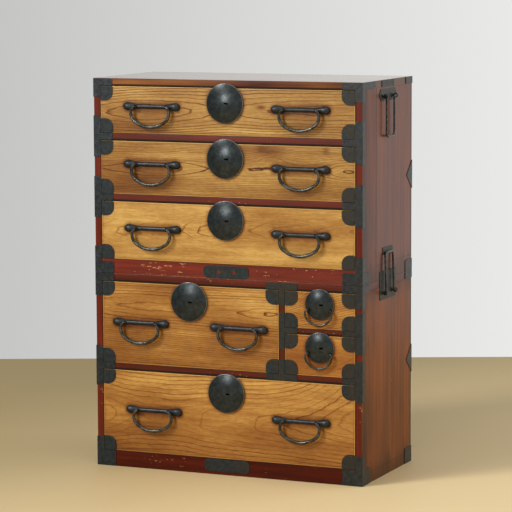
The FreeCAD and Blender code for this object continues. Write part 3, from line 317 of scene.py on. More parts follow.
# How deeply the wood has darkened, as optical depth in red: all over a front, more for every
# half height downwards, and in patches (along, up, length, height, depth). Warmth takes green
# and blue out of all of a front.
PATINA_SHARES = {
    "top_drawer": dict(warmth=-0.18, all_over=0.26, downwards=0.0, patches=(
        (-0.85, -0.8, 0.3, 0.45, 0.40), (0.28, 0.22, 0.035, 0.08, 0.9), (-0.95, 0.2, 0.14, 0.5, 0.2),
        (0.55, -0.9, 0.14, 0.2, 0.16))),
    "second_drawer": dict(warmth=-0.18, all_over=0.28, downwards=0.02, patches=(
        (-0.9, -0.5, 0.6, 0.9, 0.50), (0.36, 0.78, 0.09, 0.26, 0.62), (0.7, 0.0, 0.4, 0.8, -0.12),
        (0.28, 0.86, 0.04, 0.12, 0.5),
        (0.78, 0.85, 0.025, 0.14, 0.5), (0.6, -0.9, 0.3, 0.3, 0.15), (0.12, 0.75, 0.12, 0.4, 0.15))),
    "third_drawer": dict(warmth=0.0, all_over=0.10, downwards=0.0, patches=(
        (-1.0, -0.9, 0.4, 0.6, 0.36), (0.31, 0.78, 0.1, 0.12, 0.15), (-1.0, 0.3, 0.12, 0.6, 0.12))),
    "wide_drawer": dict(warmth=0.08, all_over=0.46, downwards=0.06, patches=(
        (0.75, 0.75, 0.5, 0.6, -0.40), (-0.75, 0.9, 0.35, 0.35, -0.10), (-0.95, -0.9, 0.3, 0.4, 0.15))),
    "small_upper_drawer": dict(warmth=0.2, all_over=0.16, downwards=0.05, patches=(
        (-0.9, 0.0, 0.5, 0.9, 0.22), (0.6, 0.8, 0.5, 0.5, -0.2))),
    "small_lower_drawer": dict(warmth=0.36, all_over=0.42, downwards=0.02, patches=(
        (-0.9, -0.2, 0.5, 0.9, 0.22), (0.6, 0.7, 0.5, 0.5, -0.2))),
    "bottom_drawer": dict(warmth=0.12, all_over=0.33, downwards=0.20, patches=(
        (-1.0, -1.0, 0.55, 0.6, 0.50), (0.9, -0.9, 0.3, 0.5, 0.12), (-0.95, 0.9, 0.12, 0.4, 0.25))),
}

WOOD_PALE = (0.60, 0.345, 0.090)
PATINA_HUE = (1.0, 1.5, 2.1)
LINE_END_SHARE = 0.95

# A darker halo round the irons: partly iron stain, partly painted contact shade.
HALO_REACH = 11.0 * MM
HALO_RAGGED = 9.0 * MM


def iron_stain_and_shade(finish, drawer):
    """Where a front is darker round its irons, partly iron stain and partly painted contact shade: 1 close
    round its lock plate and its handle bars.
    """
    x, y, z = finish.place().parts()
    ragged = (finish.noise(finish.place(), HALO_RAGGED, detail=3.0) - 0.5) * HALO_RAGGED
    close = []
    for faces in solids_of(frame["nodes"][drawer + "_ironwork"].data):
        low, high = solid_box(faces)
        middle, half = halves(low, high)
        if is_lock(low, high):
            past = x - middle.x
        elif is_bar(low, high):
            past = (abs(x - middle.x) - half.x + half.z).most(0.0)
        else:
            continue
        away = (past ** 2.0 + (z - middle.z) ** 2.0) ** 0.5 - half.z + ragged
        close.append(1.0 - away.step(-0.4 * HALO_REACH, HALO_REACH))
    return greatest(close)


# How far hands have darkened a front round a bail, as shares of its half width and half height.
HAND_WIDTH_SHARE = 1.35
HAND_HEIGHT_SHARE = 1.3


def handled(finish, drawer):
    """Where hands have darkened a front: 1 inside its bails."""
    x, y, z = finish.place().parts()
    total = 0.0
    for name in (drawer + "_bail_left", drawer + "_bail_right", drawer + "_bail"):
        if name in PIVOTS:
            middle, half = halves(*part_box(name))
            total = spot((x - middle.x, half.x * HAND_WIDTH_SHARE),
                         (z - middle.z, half.z * HAND_HEIGHT_SHARE)) + total
    return total


def front_place(finish, drawer):
    """Where a point lies on a front, as shares of its half sizes and as a depth; and the half sizes."""
    low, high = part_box(drawer + "_front")
    middle, half = halves(low, high)
    x, y, z = finish.place().parts()
    return (x - middle.x) / half.x, (z - middle.z) / half.z, y - low.y, half


def growth_rings(finish, drawer, own):
    """The figure of a sawn front: dark lines of late wood, thin lines between them, and the rings."""
    saw = SAWING_SHARES[drawer]
    ring = RING_WIDTHS[drawer]
    along, up, deep, half = front_place(finish, drawer)
    sway = finish.noise(own.stretched(6.0, 0.0, 26.0)) - 0.5
    ripple = finish.noise(own.stretched(26.0, 0.0, 120.0)) - 0.5
    level = (up - along * saw["tilt"] - saw["pith"]) * (half.z / ring)
    depth = deep / ring + along * saw["lean"] + saw["depth"]
    for place, length, rise in saw["swellings"]:
        depth = depth + spot((along - place, length)) * rise
    rings = (level * level + depth * depth).math("SQRT")
    steep = abs(level) / rings
    for place, height, length, tall, rise in saw["knots"]:
        rings = rings + spot((along - place, length), (up - height, tall)) * rise
    rings = rings + sway + ripple * 0.3

    within = rings.math("FRACT")
    strength = finish.add("ShaderNodeTexWhiteNoise", {"noise_dimensions": "1D"},
                          {"W": rings.math("FLOOR") + saw["seed"]}, "Value")
    start = 0.84 - steep * 0.22
    late = ((within - start) / (LINE_END_SHARE - start)).most(0.0).least(1.0) ** 1.7
    line = late * (1.0 - within.step(LINE_END_SHARE, 1.0)) * (strength ** 1.4 * 0.75 + 0.25)
    line = line * (level * level * -saw["calm"]).math("EXPONENT")
    thin = ((rings * 3.0).math("FRACT") - 0.5).most(0.0) * steep * 0.5
    return line, thin, within


def darkened(finish, drawer, cloud):
    """How dark a front is: from age, dirt and hands, darker near its edges and towards its bottom, and round
    its irons from iron stain and painted contact shade; and how near its edges a point is.
    """
    patina = PATINA_SHARES[drawer]
    along, up, deep, half = front_place(finish, drawer)
    border = ((1.0 - abs(along)) * half.x).least((1.0 - abs(up)) * half.z)
    rim = 1.0 - (border + (cloud - 0.5) * 14.0 * MM).step(0.0, 8.0 * MM)
    age = (cloud - 0.5) * 1.3 + patina["all_over"] - up * patina["downwards"]
    # Round the irons: iron stain and painted contact shade.
    age = age + rim * 0.28 + handled(finish, drawer) * 0.2 + iron_stain_and_shade(finish, drawer) * 0.6
    for place, height, length, tall, deepest in patina["patches"]:
        age = age + spot((along - place, length), (up - height, tall)) * (cloud + 0.5) * deepest
    return age, border


def front_wood(drawer):
    """Honey-coloured hardwood with strong growth rings, for one drawer front."""
    saw = SAWING_SHARES[drawer]
    warmth = PATINA_SHARES[drawer]["warmth"]
    finish = Finish(drawer + "_front_wood", specular_ior_level=0.2, coat_roughness=0.22)
    own = finish.place().moved(saw["seed"], 0.0, saw["seed"] / 2)
    line, thin, within = growth_rings(finish, drawer, own)
    fibre = finish.noise(own.stretched(20.0, 60.0, 310.0), detail=3.0, roughness=0.6)
    fleck = finish.noise(own.stretched(60.0, 1.0, 260.0), detail=1.0)
    streak = finish.noise(own.stretched(3.0, 10.0, 75.0), detail=3.0, roughness=0.6)
    pores = finish.noise(own.stretched(60.0, 900.0, 900.0), detail=1.0).step(0.56, 0.7) * (1.0 - within)
    cloud = finish.noise(own.stretched(4.0, 1.0, 13.0), detail=3.0)

    age, border = darkened(finish, drawer, cloud)
    age = age + (streak - 0.5) * 0.8 + (fibre - 0.5) * 0.6 + (fleck - 0.5) * 0.38 + pores * 0.3
    age = (age + line * 1.75 * saw["bold"] + thin * 0.55).most(-0.12)
    # Paler along every edge of the front: partly worn wood, partly a painted highlight on the rounded edge.
    edge_wear_and_highlight = 1.0 - border.step(1.2 * MM, 3.0 * MM)
    age = age - (age + 0.1) * edge_wear_and_highlight * 0.8
    red, green, blue = [
        (age * -hue).math("EXPONENT") * (pale * math.exp(warmth * (1.0 - hue)))
        for hue, pale in zip(PATINA_HUE, WOOD_PALE)]
    wood = finish.add("ShaderNodeCombineXYZ", {}, {"X": red, "Y": green, "Z": blue})
    return finish.feed(
        base_color=wood,
        roughness=0.44 - line * 0.06 + (fibre - 0.5) * 0.16,
        coat_weight=0.14 - pores * 0.1,
        normal=finish.bump(fibre * 0.5 - line * 0.6 - pores * 0.5, 0.25 * MM, 0.5))


# Lacquer.

RED_DEEP = (0.084, 0.011, 0.005)
RED_LIGHT = (0.185, 0.026, 0.010)
RED_BARE = (0.34, 0.135, 0.045)
CHIP_PALE = (0.62, 0.42, 0.20)
# Colour of the painted shade in the drawers' gaps, and of dark joints and darker bands.
DIRT_AND_SHADE = (0.016, 0.011, 0.007)

# Boards of the sides: the one in front, the strip along the back, and those at the two bases.
FRONT_BOARD = 104.0 * MM
REAR_STRIP = 10.0 * MM
FOOT_BOARD = 30.0 * MM
UPPER_BASE_BOARD = 43.0 * MM

# Widths of the joints that show between them.
OPEN_JOINT = 4.0 * MM
TIGHT_JOINT = 1.2 * MM
UPPER_SECTION_JOINT = 2.5 * MM
LOWER_SECTION_JOINT = 3.0 * MM


def board_wear(finish, width):
    """1 at the long edges of a board, and 0 where it is further in than about the width."""
    offset = finish.attribute("offset")
    reach = finish.attribute("reach")
    away = finish.add("ShaderNodeVectorMath", {"operation": "ABSOLUTE"}, {0: offset})
    inside = finish.add("ShaderNodeVectorMath", {"operation": "SUBTRACT"}, {0: reach, 1: away})
    a, b, c = inside.parts()
    second = a.least(b).most(a.most(b).least(c))
    grain = finish.attribute("grain")
    ragged = finish.noise(grain.stretched(14.0, 130.0, 130.0), detail=4.0, roughness=0.65)
    return 1.0 - (second + (ragged - 0.42) * width * 4.5).step(0.0, width)


# Painted shade on the frame beside the drawers' gaps, widest above each drawer where the rail's shadow falls:
# left, right, below and above.
GAP_SHADE = (1.6 * MM, 3.0 * MM, 0.7 * MM, 5.6 * MM)
GAP_SHADE_FADE = 1.0 * MM


def gap_shade(finish):
    """Painted shade on the frame round every drawer, widest in the gaps under the rails."""
    x, y, z = finish.place().parts()
    left, right, below, above = GAP_SHADE
    close = []
    for drawer in DRAWERS:
        low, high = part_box(drawer + "_front")
        middle, half = halves(low - Vector((left, 0.0, below)), high + Vector((right, 0.0, above)))
        away = (abs(x - middle.x) - half.x).most(abs(z - middle.z) - half.z)
        close.append(1.0 - away.step(0.0, GAP_SHADE_FADE))
    return greatest(close)


def board_joints(finish, joints):
    """Dark open joints: each has the axis that it lies across, its place, its width and its reach."""
    x, y, z = finish.place().parts()
    lines = []
    for axis, place, width, start, end in joints:
        across, along = (y, z) if axis == "y" else (z, y)
        line = 1.0 - abs(across - place).step(width * 0.3, width)
        lines.append(line * along.step(start - width, start) * (1.0 - along.step(end, end + width)))
    return greatest(lines)


def side_darker_bands(finish):
    """Where a side board is darker: along its front edge, at its foot and beside the section joint."""
    x, y, z = finish.place().parts()
    blotch = finish.noise(finish.place().stretched(1.0, 14.0, 5.0), detail=4.0, roughness=0.6)
    front = 1.0 - (y - case_low.y + (blotch - 0.5) * 110.0 * MM).step(4.0 * MM, 60.0 * MM)
    foot = 1.0 - (z - case_low.z + (blotch - 0.5) * 130.0 * MM).step(10.0 * MM, 75.0 * MM)
    joint = 1.0 - (abs(z - section_joint) + (blotch - 0.5) * 150.0 * MM).step(6.0 * MM, 70.0 * MM)
    return front.most(foot * 0.8).most(joint * 0.75)


def lacquer(name, deep, light, wear_width, gloss, veil=0.6, joints=(), rubbed_low=0.42, chips=0.0):
    """Translucent red-brown lacquer over wood, rubbed through along the edges."""
    finish = Finish(name, coat_roughness=gloss, specular_ior_level=0.1)
    grain = finish.attribute("grain")
    streak = finish.noise(grain.stretched(2.5, 70.0, 70.0), detail=4.0, roughness=0.6)
    fine = finish.noise(grain.stretched(12.0, 420.0, 420.0), detail=2.0)
    cloud = finish.noise(grain.stretched(3.0, 9.0, 9.0), detail=3.0)
    rubbed = finish.noise(grain.stretched(3.5, 24.0, 24.0).moved(7.0, 3.0, 1.0), detail=3.0)
    worn = board_wear(finish, wear_width) * rubbed.step(rubbed_low, rubbed_low + 0.2)
    depth = (streak * 1.5 + cloud * 1.1 - 0.8).most(0.0).least(1.0)
    colour = finish.mix(depth, deep, light)
    x, y, z = finish.place().parts()
    front = 1.0 - y.step(case_low.y + 0.5 * MM, case_low.y + 2.0 * MM)
    if joints:
        # A side: its front face is a stile of the frame, and its front board is duller than the rest.
        behind = y.step(case_low.y + FRONT_BOARD - 2.0 * MM, case_low.y + FRONT_BOARD + 2.0 * MM)
        colour = finish.mix(front, colour, finish.mix(depth, RED_DEEP, RED_LIGHT))
        dull = (front * 0.75).most((1.0 - behind) * 0.35)
    else:
        # The frame: duller at the boards' ends and in the lower section.
        end = abs(x).step(case_high.x - 3.0 * MM, case_high.x - 1.0 * MM)
        lower = 1.0 - z.step(section_joint - 15.0 * MM, section_joint)
        dull = (end * 0.6).most(lower * 0.7)
        colour = colour.scaled(1.0 - dull * 0.45)
    colour = finish.mix(worn * 0.8, colour, RED_BARE)
    colour = colour.scaled(1.0 - fine.step(0.5, 0.72) * 0.3)
    chipped = finish.noise(grain.stretched(55.0, 210.0, 210.0), detail=3.0, roughness=0.65)
    chipped = (chipped + (rubbed - 0.5) * 0.35 + worn * 0.1 + chips).step(0.735, 0.765)
    colour = finish.mix(chipped * 0.85, colour, CHIP_PALE)
    # Painted shade along the drawers' gaps, with the sides' dark joints and darker bands added to it.
    dark = gap_shade(finish) * 0.95
    if joints:
        dark = dark.most(board_joints(finish, joints) * 0.85).most(side_darker_bands(finish) * (1.0 - front) * 0.62)
    colour = finish.mix(dark, colour, DIRT_AND_SHADE)
    return finish.feed(
        base_color=colour,
        roughness=0.34 + (cloud - 0.5) * 0.18 + worn * 0.25,
        coat_weight=(1.0 - worn * 0.7 - dark * 0.7) * (1.0 - chipped) * (1.0 - dull) * veil,
        normal=finish.bump(streak * 0.6 + fine * 0.25 + cloud * 1.5 - worn * 0.5, 0.3 * MM, 0.35))


def top_lacquer():
    """The top board, rubbed to pale brown on its front edge, mostly to the left."""
    finish = Finish("top_lacquer", coat_roughness=0.15, specular_ior_level=0.1, coat_ior=1.75)
    x, y, z = finish.place().parts()
    grain = finish.attribute("grain")
    streak = finish.noise(grain.stretched(2.5, 60.0, 60.0), detail=4.0, roughness=0.6)
    cloud = finish.noise(grain.stretched(4.0, 14.0, 14.0), detail=3.0)
    front = 1.0 - y.step(case_low.y + 2.0 * MM, case_low.y + 14.0 * MM)
    left = 1.0 - (x + (cloud - 0.5) * 0.5).step(-0.22, 0.12)
    end = abs(x).step(case_high.x - 3.0 * MM, case_high.x - 1.0 * MM) * (1.0 - front)
    rubbed = (cloud * 1.6 + streak * 1.7 + left * 0.45 - 1.45).most(0.0).least(1.0)
    colour = finish.mix(streak.step(0.25, 0.75), (0.115, 0.034, 0.013), (0.285, 0.108, 0.040))
    face = finish.mix(rubbed, (0.060, 0.008, 0.004), (0.31, 0.115, 0.028))
    colour = finish.mix(front, colour, face)
    colour = finish.mix(end * 0.8, colour, (0.10, 0.035, 0.014))
    # Painted shade along the top drawer's gap.
    dark = gap_shade(finish) * 0.85
    colour = finish.mix(dark, colour, (0.012, 0.006, 0.004))
    return finish.feed(
        base_color=colour,
        roughness=0.3 + (cloud - 0.5) * 0.2,
        coat_weight=(1.0 - front * 0.98) * (1.0 - end * 0.75) * (1.0 - dark * 0.4),
        normal=finish.bump(streak * 0.5 + cloud * 1.2, 0.3 * MM, 0.25))


# Wood of the insides and backs.

SOFTWOOD_RING = 7.0 * MM


def plain_wood(name, pale, brown):
    """Unfinished softwood of the drawers' insides and of the backs."""
    finish = Finish(name, specular_ior_level=0.3)
    grain = finish.attribute("grain")
    along, across, deep = grain.parts()
    sway = finish.noise(grain.stretched(3.0, 9.0, 2.0), detail=2.0) - 0.5
    rings = (across + deep * 0.6) / SOFTWOOD_RING + sway * 7.0
    within = rings.math("FRACT")
    line = within.step(0.3, 0.95) * (1.0 - within.step(0.95, 1.0))
    fibre = finish.noise(grain.stretched(10.0, 500.0, 500.0), detail=3.0, roughness=0.6)
    cloud = finish.noise(grain.stretched(2.0, 8.0, 8.0), detail=3.0)
    colour = finish.mix(line * 0.5 + (fibre - 0.5) * 0.5, pale, brown)
    colour = finish.mix(cloud.step(0.35, 0.8) * 0.35, colour, tuple(part * 0.55 for part in brown))
    return finish.feed(
        base_color=colour,
        roughness=0.62 + (fibre - 0.5) * 0.2,
        normal=finish.bump(fibre * 0.6 - line * 0.5, 0.25 * MM, 0.6))


# Iron.

GRIT_DEPTH = 0.03 * MM
RUST = (0.034, 0.025, 0.014)
# Pale iron of the lock plates' lips: partly rubbed, partly a painted highlight.
RIM_HIGHLIGHT_IRON = (0.30, 0.285, 0.26)


def iron(name, dark, grey, rust_share, roughness, hammer_size, hammer_depth, rim_wear_and_highlight=False):
    """Black patinated iron, rubbed grey in places and rusty in others, more so to the right; a lock plate's
    lip is painted pale, partly rubbed iron and partly a painted highlight.
    """
    finish = Finish(name, metallic=0.4, specular_ior_level=0.4)
    at = finish.place()
    dents = finish.noise(at, hammer_size, detail=2.0)
    grit = finish.noise(at, 0.9 * MM, detail=3.0, roughness=0.7)
    patina = finish.noise(at, 34.0 * MM, detail=4.0, roughness=0.6)
    rubbed = finish.noise(at.moved(3.0, 1.0, 2.0), 11.0 * MM, detail=4.0, roughness=0.65)
    colour = finish.mix(rubbed.step(0.35, 0.75), dark, grey)
    rusty = (patina + at.parts()[0] * 0.45).step(0.44, 0.74) * rust_share
    colour = finish.mix(rusty, colour, RUST)
    colour = finish.mix(grit.step(0.55, 0.75) * 0.4, colour, tuple(part * 0.4 for part in dark))
    # The lock plate's outer lip is painted pale: partly rubbed iron, partly a painted highlight.
    if rim_wear_and_highlight:
        across, deep, up = finish.attribute("offset").parts()
        reach = finish.attribute("reach").parts()[0]
        out = (across ** 2.0 + up ** 2.0) ** 0.5 / reach
        colour = finish.mix(out.step(0.972, 0.988) * (rubbed * 0.6 + 0.3), colour, RIM_HIGHLIGHT_IRON)
    return finish.feed(
        base_color=colour,
        roughness=(patina - 0.5) * 0.2 + (grit - 0.5) * 0.16 + roughness,
        normal=finish.bump(dents + grit * (GRIT_DEPTH / hammer_depth), hammer_depth, 0.8))


finishes = {material.name: material for material in [
    lacquer("frame_lacquer", RED_DEEP, RED_LIGHT, 1.2 * MM, 0.16),
    lacquer("upper_base_lacquer", (0.095, 0.009, 0.004), (0.24, 0.025, 0.009), 2.2 * MM, 0.16,
            rubbed_low=0.36, chips=0.05),
    lacquer("lower_base_lacquer", (0.048, 0.006, 0.002), (0.160, 0.017, 0.004), 1.6 * MM, 0.2, veil=0.08),
    lacquer("upper_side_lacquer", (0.078, 0.017, 0.006), (0.250, 0.062, 0.019), 1.6 * MM, 0.2, veil=0.31,
            joints=(("y", case_low.y + FRONT_BOARD, OPEN_JOINT, section_joint, case_high.z),
                    ("z", section_joint, UPPER_SECTION_JOINT, case_low.y, case_high.y),
                    ("z", section_joint + UPPER_BASE_BOARD, TIGHT_JOINT,
                     case_low.y + FRONT_BOARD, case_high.y),
                    ("y", case_high.y, REAR_STRIP, section_joint, case_high.z))),
    lacquer("lower_side_lacquer", (0.090, 0.023, 0.006), (0.330, 0.092, 0.018), 1.8 * MM, 0.22, veil=0.09,
            joints=(("z", section_joint, LOWER_SECTION_JOINT, case_low.y, case_high.y),
                    ("z", case_low.z + FOOT_BOARD, TIGHT_JOINT, case_low.y, case_high.y),
                    ("y", case_high.y, REAR_STRIP, case_low.z, section_joint))),
    top_lacquer(),
    plain_wood("tray_wood", (0.60, 0.43, 0.24), (0.36, 0.21, 0.09)),
    plain_wood("back_wood", (0.42, 0.27, 0.13), (0.24, 0.13, 0.055)),
    iron("sheet_iron", (0.0092, 0.0142, 0.0153), (0.0255, 0.036, 0.038), 0.65, 0.46, 9.0 * MM, 0.30 * MM),
    iron("forged_iron", (0.010, 0.0135, 0.016), (0.034, 0.042, 0.048), 0.25, 0.36, 7.0 * MM, 0.25 * MM),
    iron("bail_iron", (0.018, 0.019, 0.018), (0.125, 0.118, 0.104), 0.1, 0.22, 5.0 * MM, 0.12 * MM),
    iron("lock_iron", (0.0110, 0.0150, 0.0160), (0.030, 0.043, 0.046), 0.08, 0.262, 12.0 * MM, 0.16 * MM,
         rim_wear_and_highlight=True),
    *[front_wood(drawer) for drawer in DRAWERS]]}


# Pieces with rounded edges.

FLAT = math.radians(0.6)
SHARP = math.radians(32)

# A shift of the grain from each board of a piece to the next, so that no two look alike.
BOARD_STEP = Vector((1.7, 0.9, 0.4))


def merged(faces):
    """One solid with its loose triangles joined into whole faces."""
    bm = bmesh.new()
    spots = {}
    for corners in faces:
        if len(set(corners)) < 3:
            continue
        for corner in corners:
            if corner not in spots:
                spots[corner] = bm.verts.new([number * WELD for number in corner])
        if bm.faces.get([spots[corner] for corner in corners]) is None:
            bm.faces.new([spots[corner] for corner in corners])
    bmesh.ops.dissolve_limit(bm, angle_limit=FLAT, verts=bm.verts, edges=bm.edges)
    return bm


def rounded(bm, edge):
    """Round the sharp edges of a solid."""
    sharp = [item for item in bm.edges if item.is_manifold and item.calc_face_angle() > SHARP]
    bmesh.ops.bevel(bm, geom=sharp, offset=edge, offset_type="OFFSET", segments=2, profile=0.5,
                    affect="EDGES", clamp_overlap=True)


def mark_board(bm, number):
    """Note on every point of a solid where it lies in it, for the finishes' patterns."""
    middle, half = halves(*box_of(vertex.co for vertex in bm.verts))
    order = sorted(range(3), key=lambda axis: -half[axis])
    layers = [bm.verts.layers.float_vector.new(name) for name in ("offset", "reach", "grain")]
    for vertex in bm.verts:
        offset = vertex.co - middle
        vertex[layers[0]] = offset
        vertex[layers[1]] = half
        vertex[layers[2]] = Vector([offset[axis] for axis in order]) + BOARD_STEP * number


def mesh_of(bm, name="part"):
    """The mesh of a shape, which is used up."""
    mesh = bpy.data.meshes.new(name)
    bm.to_mesh(mesh)
    bm.free()
    return mesh


def placed(name, data):
    """A new object in the scene."""
    item = bpy.data.objects.new(name, data)
    bpy.context.scene.collection.objects.link(item)
    return item


def handed_over(piece, node, in_place=True):
    """Put a piece on its node's body, in place of the node or beside it."""
    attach(piece, frame["nodes"][node]["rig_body"])
    if in_place:
        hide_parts(node)


def dressed(node, edge, choose, remake=None):
    """A piece in place of a CAD node, with round edges; choose names the finish of each solid.

    A solid that remake answers with a shape of its own is replaced by that one.
    """
    whole = bmesh.new()
    names = []
    for number, faces in enumerate(solids_of(frame["nodes"][node].data)):
        bm = merged(faces)
        low, high = box_of(vertex.co for vertex in bm.verts)
        own = remake(low, high) if remake else None
        if own:
            bm.free()
            bm = own
        mark_board(bm, number)
        if not own:
            rounded(bm, edge)
        finish = choose(low, high)
        if finish not in names:
            names.append(finish)
        for face in bm.faces:
            face.material_index = names.index(finish)
            face.smooth = True
        part = mesh_of(bm)
        whole.from_mesh(part)
        bpy.data.meshes.remove(part)
    joined = mesh_of(whole, node)
    piece = placed(node + "_piece", joined)
    for name in names:
        joined.materials.append(finishes[name])
    joined.set_sharp_from_angle(angle=SHARP)
    weigh = piece.modifiers.new("weigh", "WEIGHTED_NORMAL")
    weigh.keep_sharp = True
    handed_over(piece, node)


BOARD_EDGE = 0.8 * MM
FRONT_EDGE = 1.6 * MM
IRON_EDGE = 0.35 * MM


def only(finish):
    """Chooses one finish for every solid."""
    return lambda low, high: finish


def in_front(finish):
    """Chooses a finish for the boards that reach the front, and plain wood for those behind."""
    return lambda low, high: finish if low.y < case_low.y + MM else "back_wood"


for section in ("lower", "upper"):
    for side in ("left", "right"):
        dressed("%s_side_%s" % (section, side), BOARD_EDGE, only(section + "_side_lacquer"))
    dressed(section + "_base", BOARD_EDGE, in_front(section + "_base_lacquer"))
    dressed(section + "_back_boards", BOARD_EDGE, only("back_wood"))
dressed("upper_top_board", BOARD_EDGE, only("top_lacquer"))
dressed("lower_top_board", BOARD_EDGE, only("frame_lacquer"))
for node in ("lower_shelf", "lower_small_shelf", "lower_divider", "upper_shelves"):
    dressed(node, BOARD_EDGE, in_front("frame_lacquer"))
for drawer in DRAWERS:
    dressed(drawer + "_front", FRONT_EDGE, only(drawer + "_front_wood"))
    dressed(drawer + "_tray", BOARD_EDGE, only("tray_wood"))


# Irons.

def closed_shape(rings, tip=None):
    """A shape through rings of places, closed across its last ring, and across its first or at a tip."""
    bm = bmesh.new()
    rings = [[bm.verts.new(place) for place in ring] for ring in rings]
    for first, second in zip(rings, rings[1:]):
        for side in range(len(first)):
            bm.faces.new((first[side - 1], first[side], second[side], second[side - 1]))
    bm.faces.new(rings[-1])
    if tip:
        top = bm.verts.new(tip)
        for side in range(len(rings[0])):
            bm.faces.new((top, rings[0][side - 1], rings[0][side]))
    else:
        bm.faces.new(rings[0])
    bmesh.ops.recalc_face_normals(bm, faces=bm.faces)
    return bm


def circle(count):
    """The angles of points evenly round a circle."""
    return [2 * math.pi * side / count for side in range(count)]


# A handle bar is thin between its eyes and swells into a drop at each end.
BAR_WAIST_SHARE = 0.54
BAR_NECK_SHARE = 0.42
BAR_CAP_SHARE = 0.84
BAR_TIP_SHARE = 0.996
BAR_STATIONS = 22
BAR_SIDES = 12


def bar_radius_share(share):
    """Radius at a share of the way from the middle of a bar to its tip, as a share of its widest."""
    if share > BAR_CAP_SHARE:
        return math.sqrt(1.0 - ((share - BAR_CAP_SHARE) / (1.0 - BAR_CAP_SHARE)) ** 2)
    rise = max(0.0, (share - BAR_NECK_SHARE) / (BAR_CAP_SHARE - BAR_NECK_SHARE))
    return BAR_WAIST_SHARE + (1.0 - BAR_WAIST_SHARE) * rise * rise * (3.0 - 2.0 * rise)


def handle_bar(low, high):
    """A handle bar, round in front and flat against the wood."""
    middle, half = halves(low, high)
    rings = []
    for index in range(-BAR_STATIONS, BAR_STATIONS + 1):
        share = BAR_TIP_SHARE * math.sin(math.pi / 2 * index / BAR_STATIONS)
        radius = half.z * bar_radius_share(abs(share))
        angles = [math.pi * side / BAR_SIDES for side in range(BAR_SIDES + 1)]
        rings.append([
            (middle.x + share * half.x, high.y - radius * math.sin(angle),
             middle.z + radius * math.cos(angle))
            for angle in angles])
    return closed_shape(rings)


# A lock plate is a shallow dome with a round lip, and a keyhole to the right of its middle.
# From the least radius of a large one on, its rim stands a little higher.
LARGE_LOCK_LEAST = 50.0 * MM
LARGE_LOCK_RIM = 4.5 * MM
SMALL_LOCK_RIM = 3.5 * MM
LOCK_LIP = 1.3 * MM
LOCK_RINGS = 14
LOCK_SIDES = 72
LIP_STEPS = 4
KEYHOLE_OFFSET = 7.5 * MM
KEYHOLE_HALF = 6.25 * MM
KEYHOLE_RADIUS = 2.3 * MM
KEYHOLE_STEPS = 8


def lock_profile(radius, rim, crown):
    """Half of the line across a lock plate: distances from its middle, and heights off the wood."""
    rise = crown - rim
    sphere = (radius ** 2 + rise ** 2) / (2 * rise)
    flat = radius - LOCK_LIP
    line = []
    for index in range(1, LOCK_RINGS + 1):
        reach = flat * index / LOCK_RINGS
        line.append((reach, crown - sphere + math.sqrt(sphere ** 2 - reach ** 2)))
    slope = math.asin(flat / sphere)
    top = line[-1][1]
    for index in range(1, LIP_STEPS + 1):
        angle = slope + (math.pi / 2 - slope) * index / LIP_STEPS
        share = (math.sin(angle) - math.sin(slope)) / (1.0 - math.sin(slope))
        line.append((flat + LOCK_LIP * share, top - LOCK_LIP * (math.cos(slope) - math.cos(angle))))
    line.append((radius, 0.0))
    return line


def keyhole(middle, low, high):
    """The closed shape that cuts a keyhole through a plate."""
    outline = []
    for side in (1, -1):
        for index in range(KEYHOLE_STEPS + 1):
            angle = math.pi * (index / KEYHOLE_STEPS - 0.5)
            outline.append((
                KEYHOLE_OFFSET + side * (KEYHOLE_HALF - KEYHOLE_RADIUS + KEYHOLE_RADIUS * math.cos(angle)),
                side * KEYHOLE_RADIUS * math.sin(angle)))
    return closed_shape([
        [(middle.x + across, level, middle.z + up) for across, up in outline]
        for level in (low.y - MM, high.y + MM)])


def evaluated(piece):
    """A plain mesh of a piece as its modifiers leave it."""
    depsgraph = bpy.context.evaluated_depsgraph_get()
    return bpy.data.meshes.new_from_object(piece.evaluated_get(depsgraph), depsgraph=depsgraph)


def cut_out(bm, cutter):
    """A closed shape with another taken out of it."""
    bodies = [placed("cut", mesh_of(part)) for part in (bm, cutter)]
    cut = bodies[0].modifiers.new("cut", "BOOLEAN")
    cut.operation = "DIFFERENCE"
    cut.solver = "EXACT"
    cut.object = bodies[1]
    mesh = evaluated(bodies[0])
    left = bmesh.new()
    left.from_mesh(mesh)
    for used in [mesh] + [body.data for body in bodies]:
        bpy.data.meshes.remove(used)
    return left


def lock_plate(low, high):
    """A domed lock plate with its keyhole."""
    middle, half = halves(low, high)
    radius = half.x
    rim = LARGE_LOCK_RIM if radius > LARGE_LOCK_LEAST else SMALL_LOCK_RIM
    rings = [
        [(middle.x + reach * math.cos(angle), high.y - height, middle.z + reach * math.sin(angle))
         for angle in circle(LOCK_SIDES)]
        for reach, height in lock_profile(radius, rim, high.y - low.y)]
    plate = closed_shape(rings, tip=(middle.x, low.y, middle.z))
    return cut_out(plate, keyhole(middle, low, high))


def remade_iron(low, high):
    """A smoother shape for a lock plate or a handle bar, and none for the other irons."""
    if is_lock(low, high):
        return lock_plate(low, high)
    if is_bar(low, high):
        return handle_bar(low, high)
    return None


def iron_part(low, high):
    """The finish of an iron: sheet, forged bar or eye, or a lock's domed plate."""
    if is_lock(low, high):
        return "lock_iron"
    if min(high - low) > SHEET_MOST:
        return "forged_iron"
    return "sheet_iron"


for node in ("lower_ironwork", "upper_ironwork"):
    dressed(node, IRON_EDGE, iron_part)
for drawer in DRAWERS:
    dressed(drawer + "_ironwork", IRON_EDGE, iron_part, remade_iron)
    dressed(drawer + "_bolt", IRON_EDGE, only("forged_iron"))


# Nails, in rows along the edges of the plates.

NAIL = {"Pitch": 19.0 * MM, "Closest": 9.0 * MM, "Head radius": 1.7 * MM, "Head height": 0.55 * MM, "Seed": 7}
NAIL_INSET = 5.5 * MM
PLATE_AREA_LEAST = 300.0 * MM * MM
FACING_LEAST = 0.999
FLUSH_WITHIN = 0.05 * MM


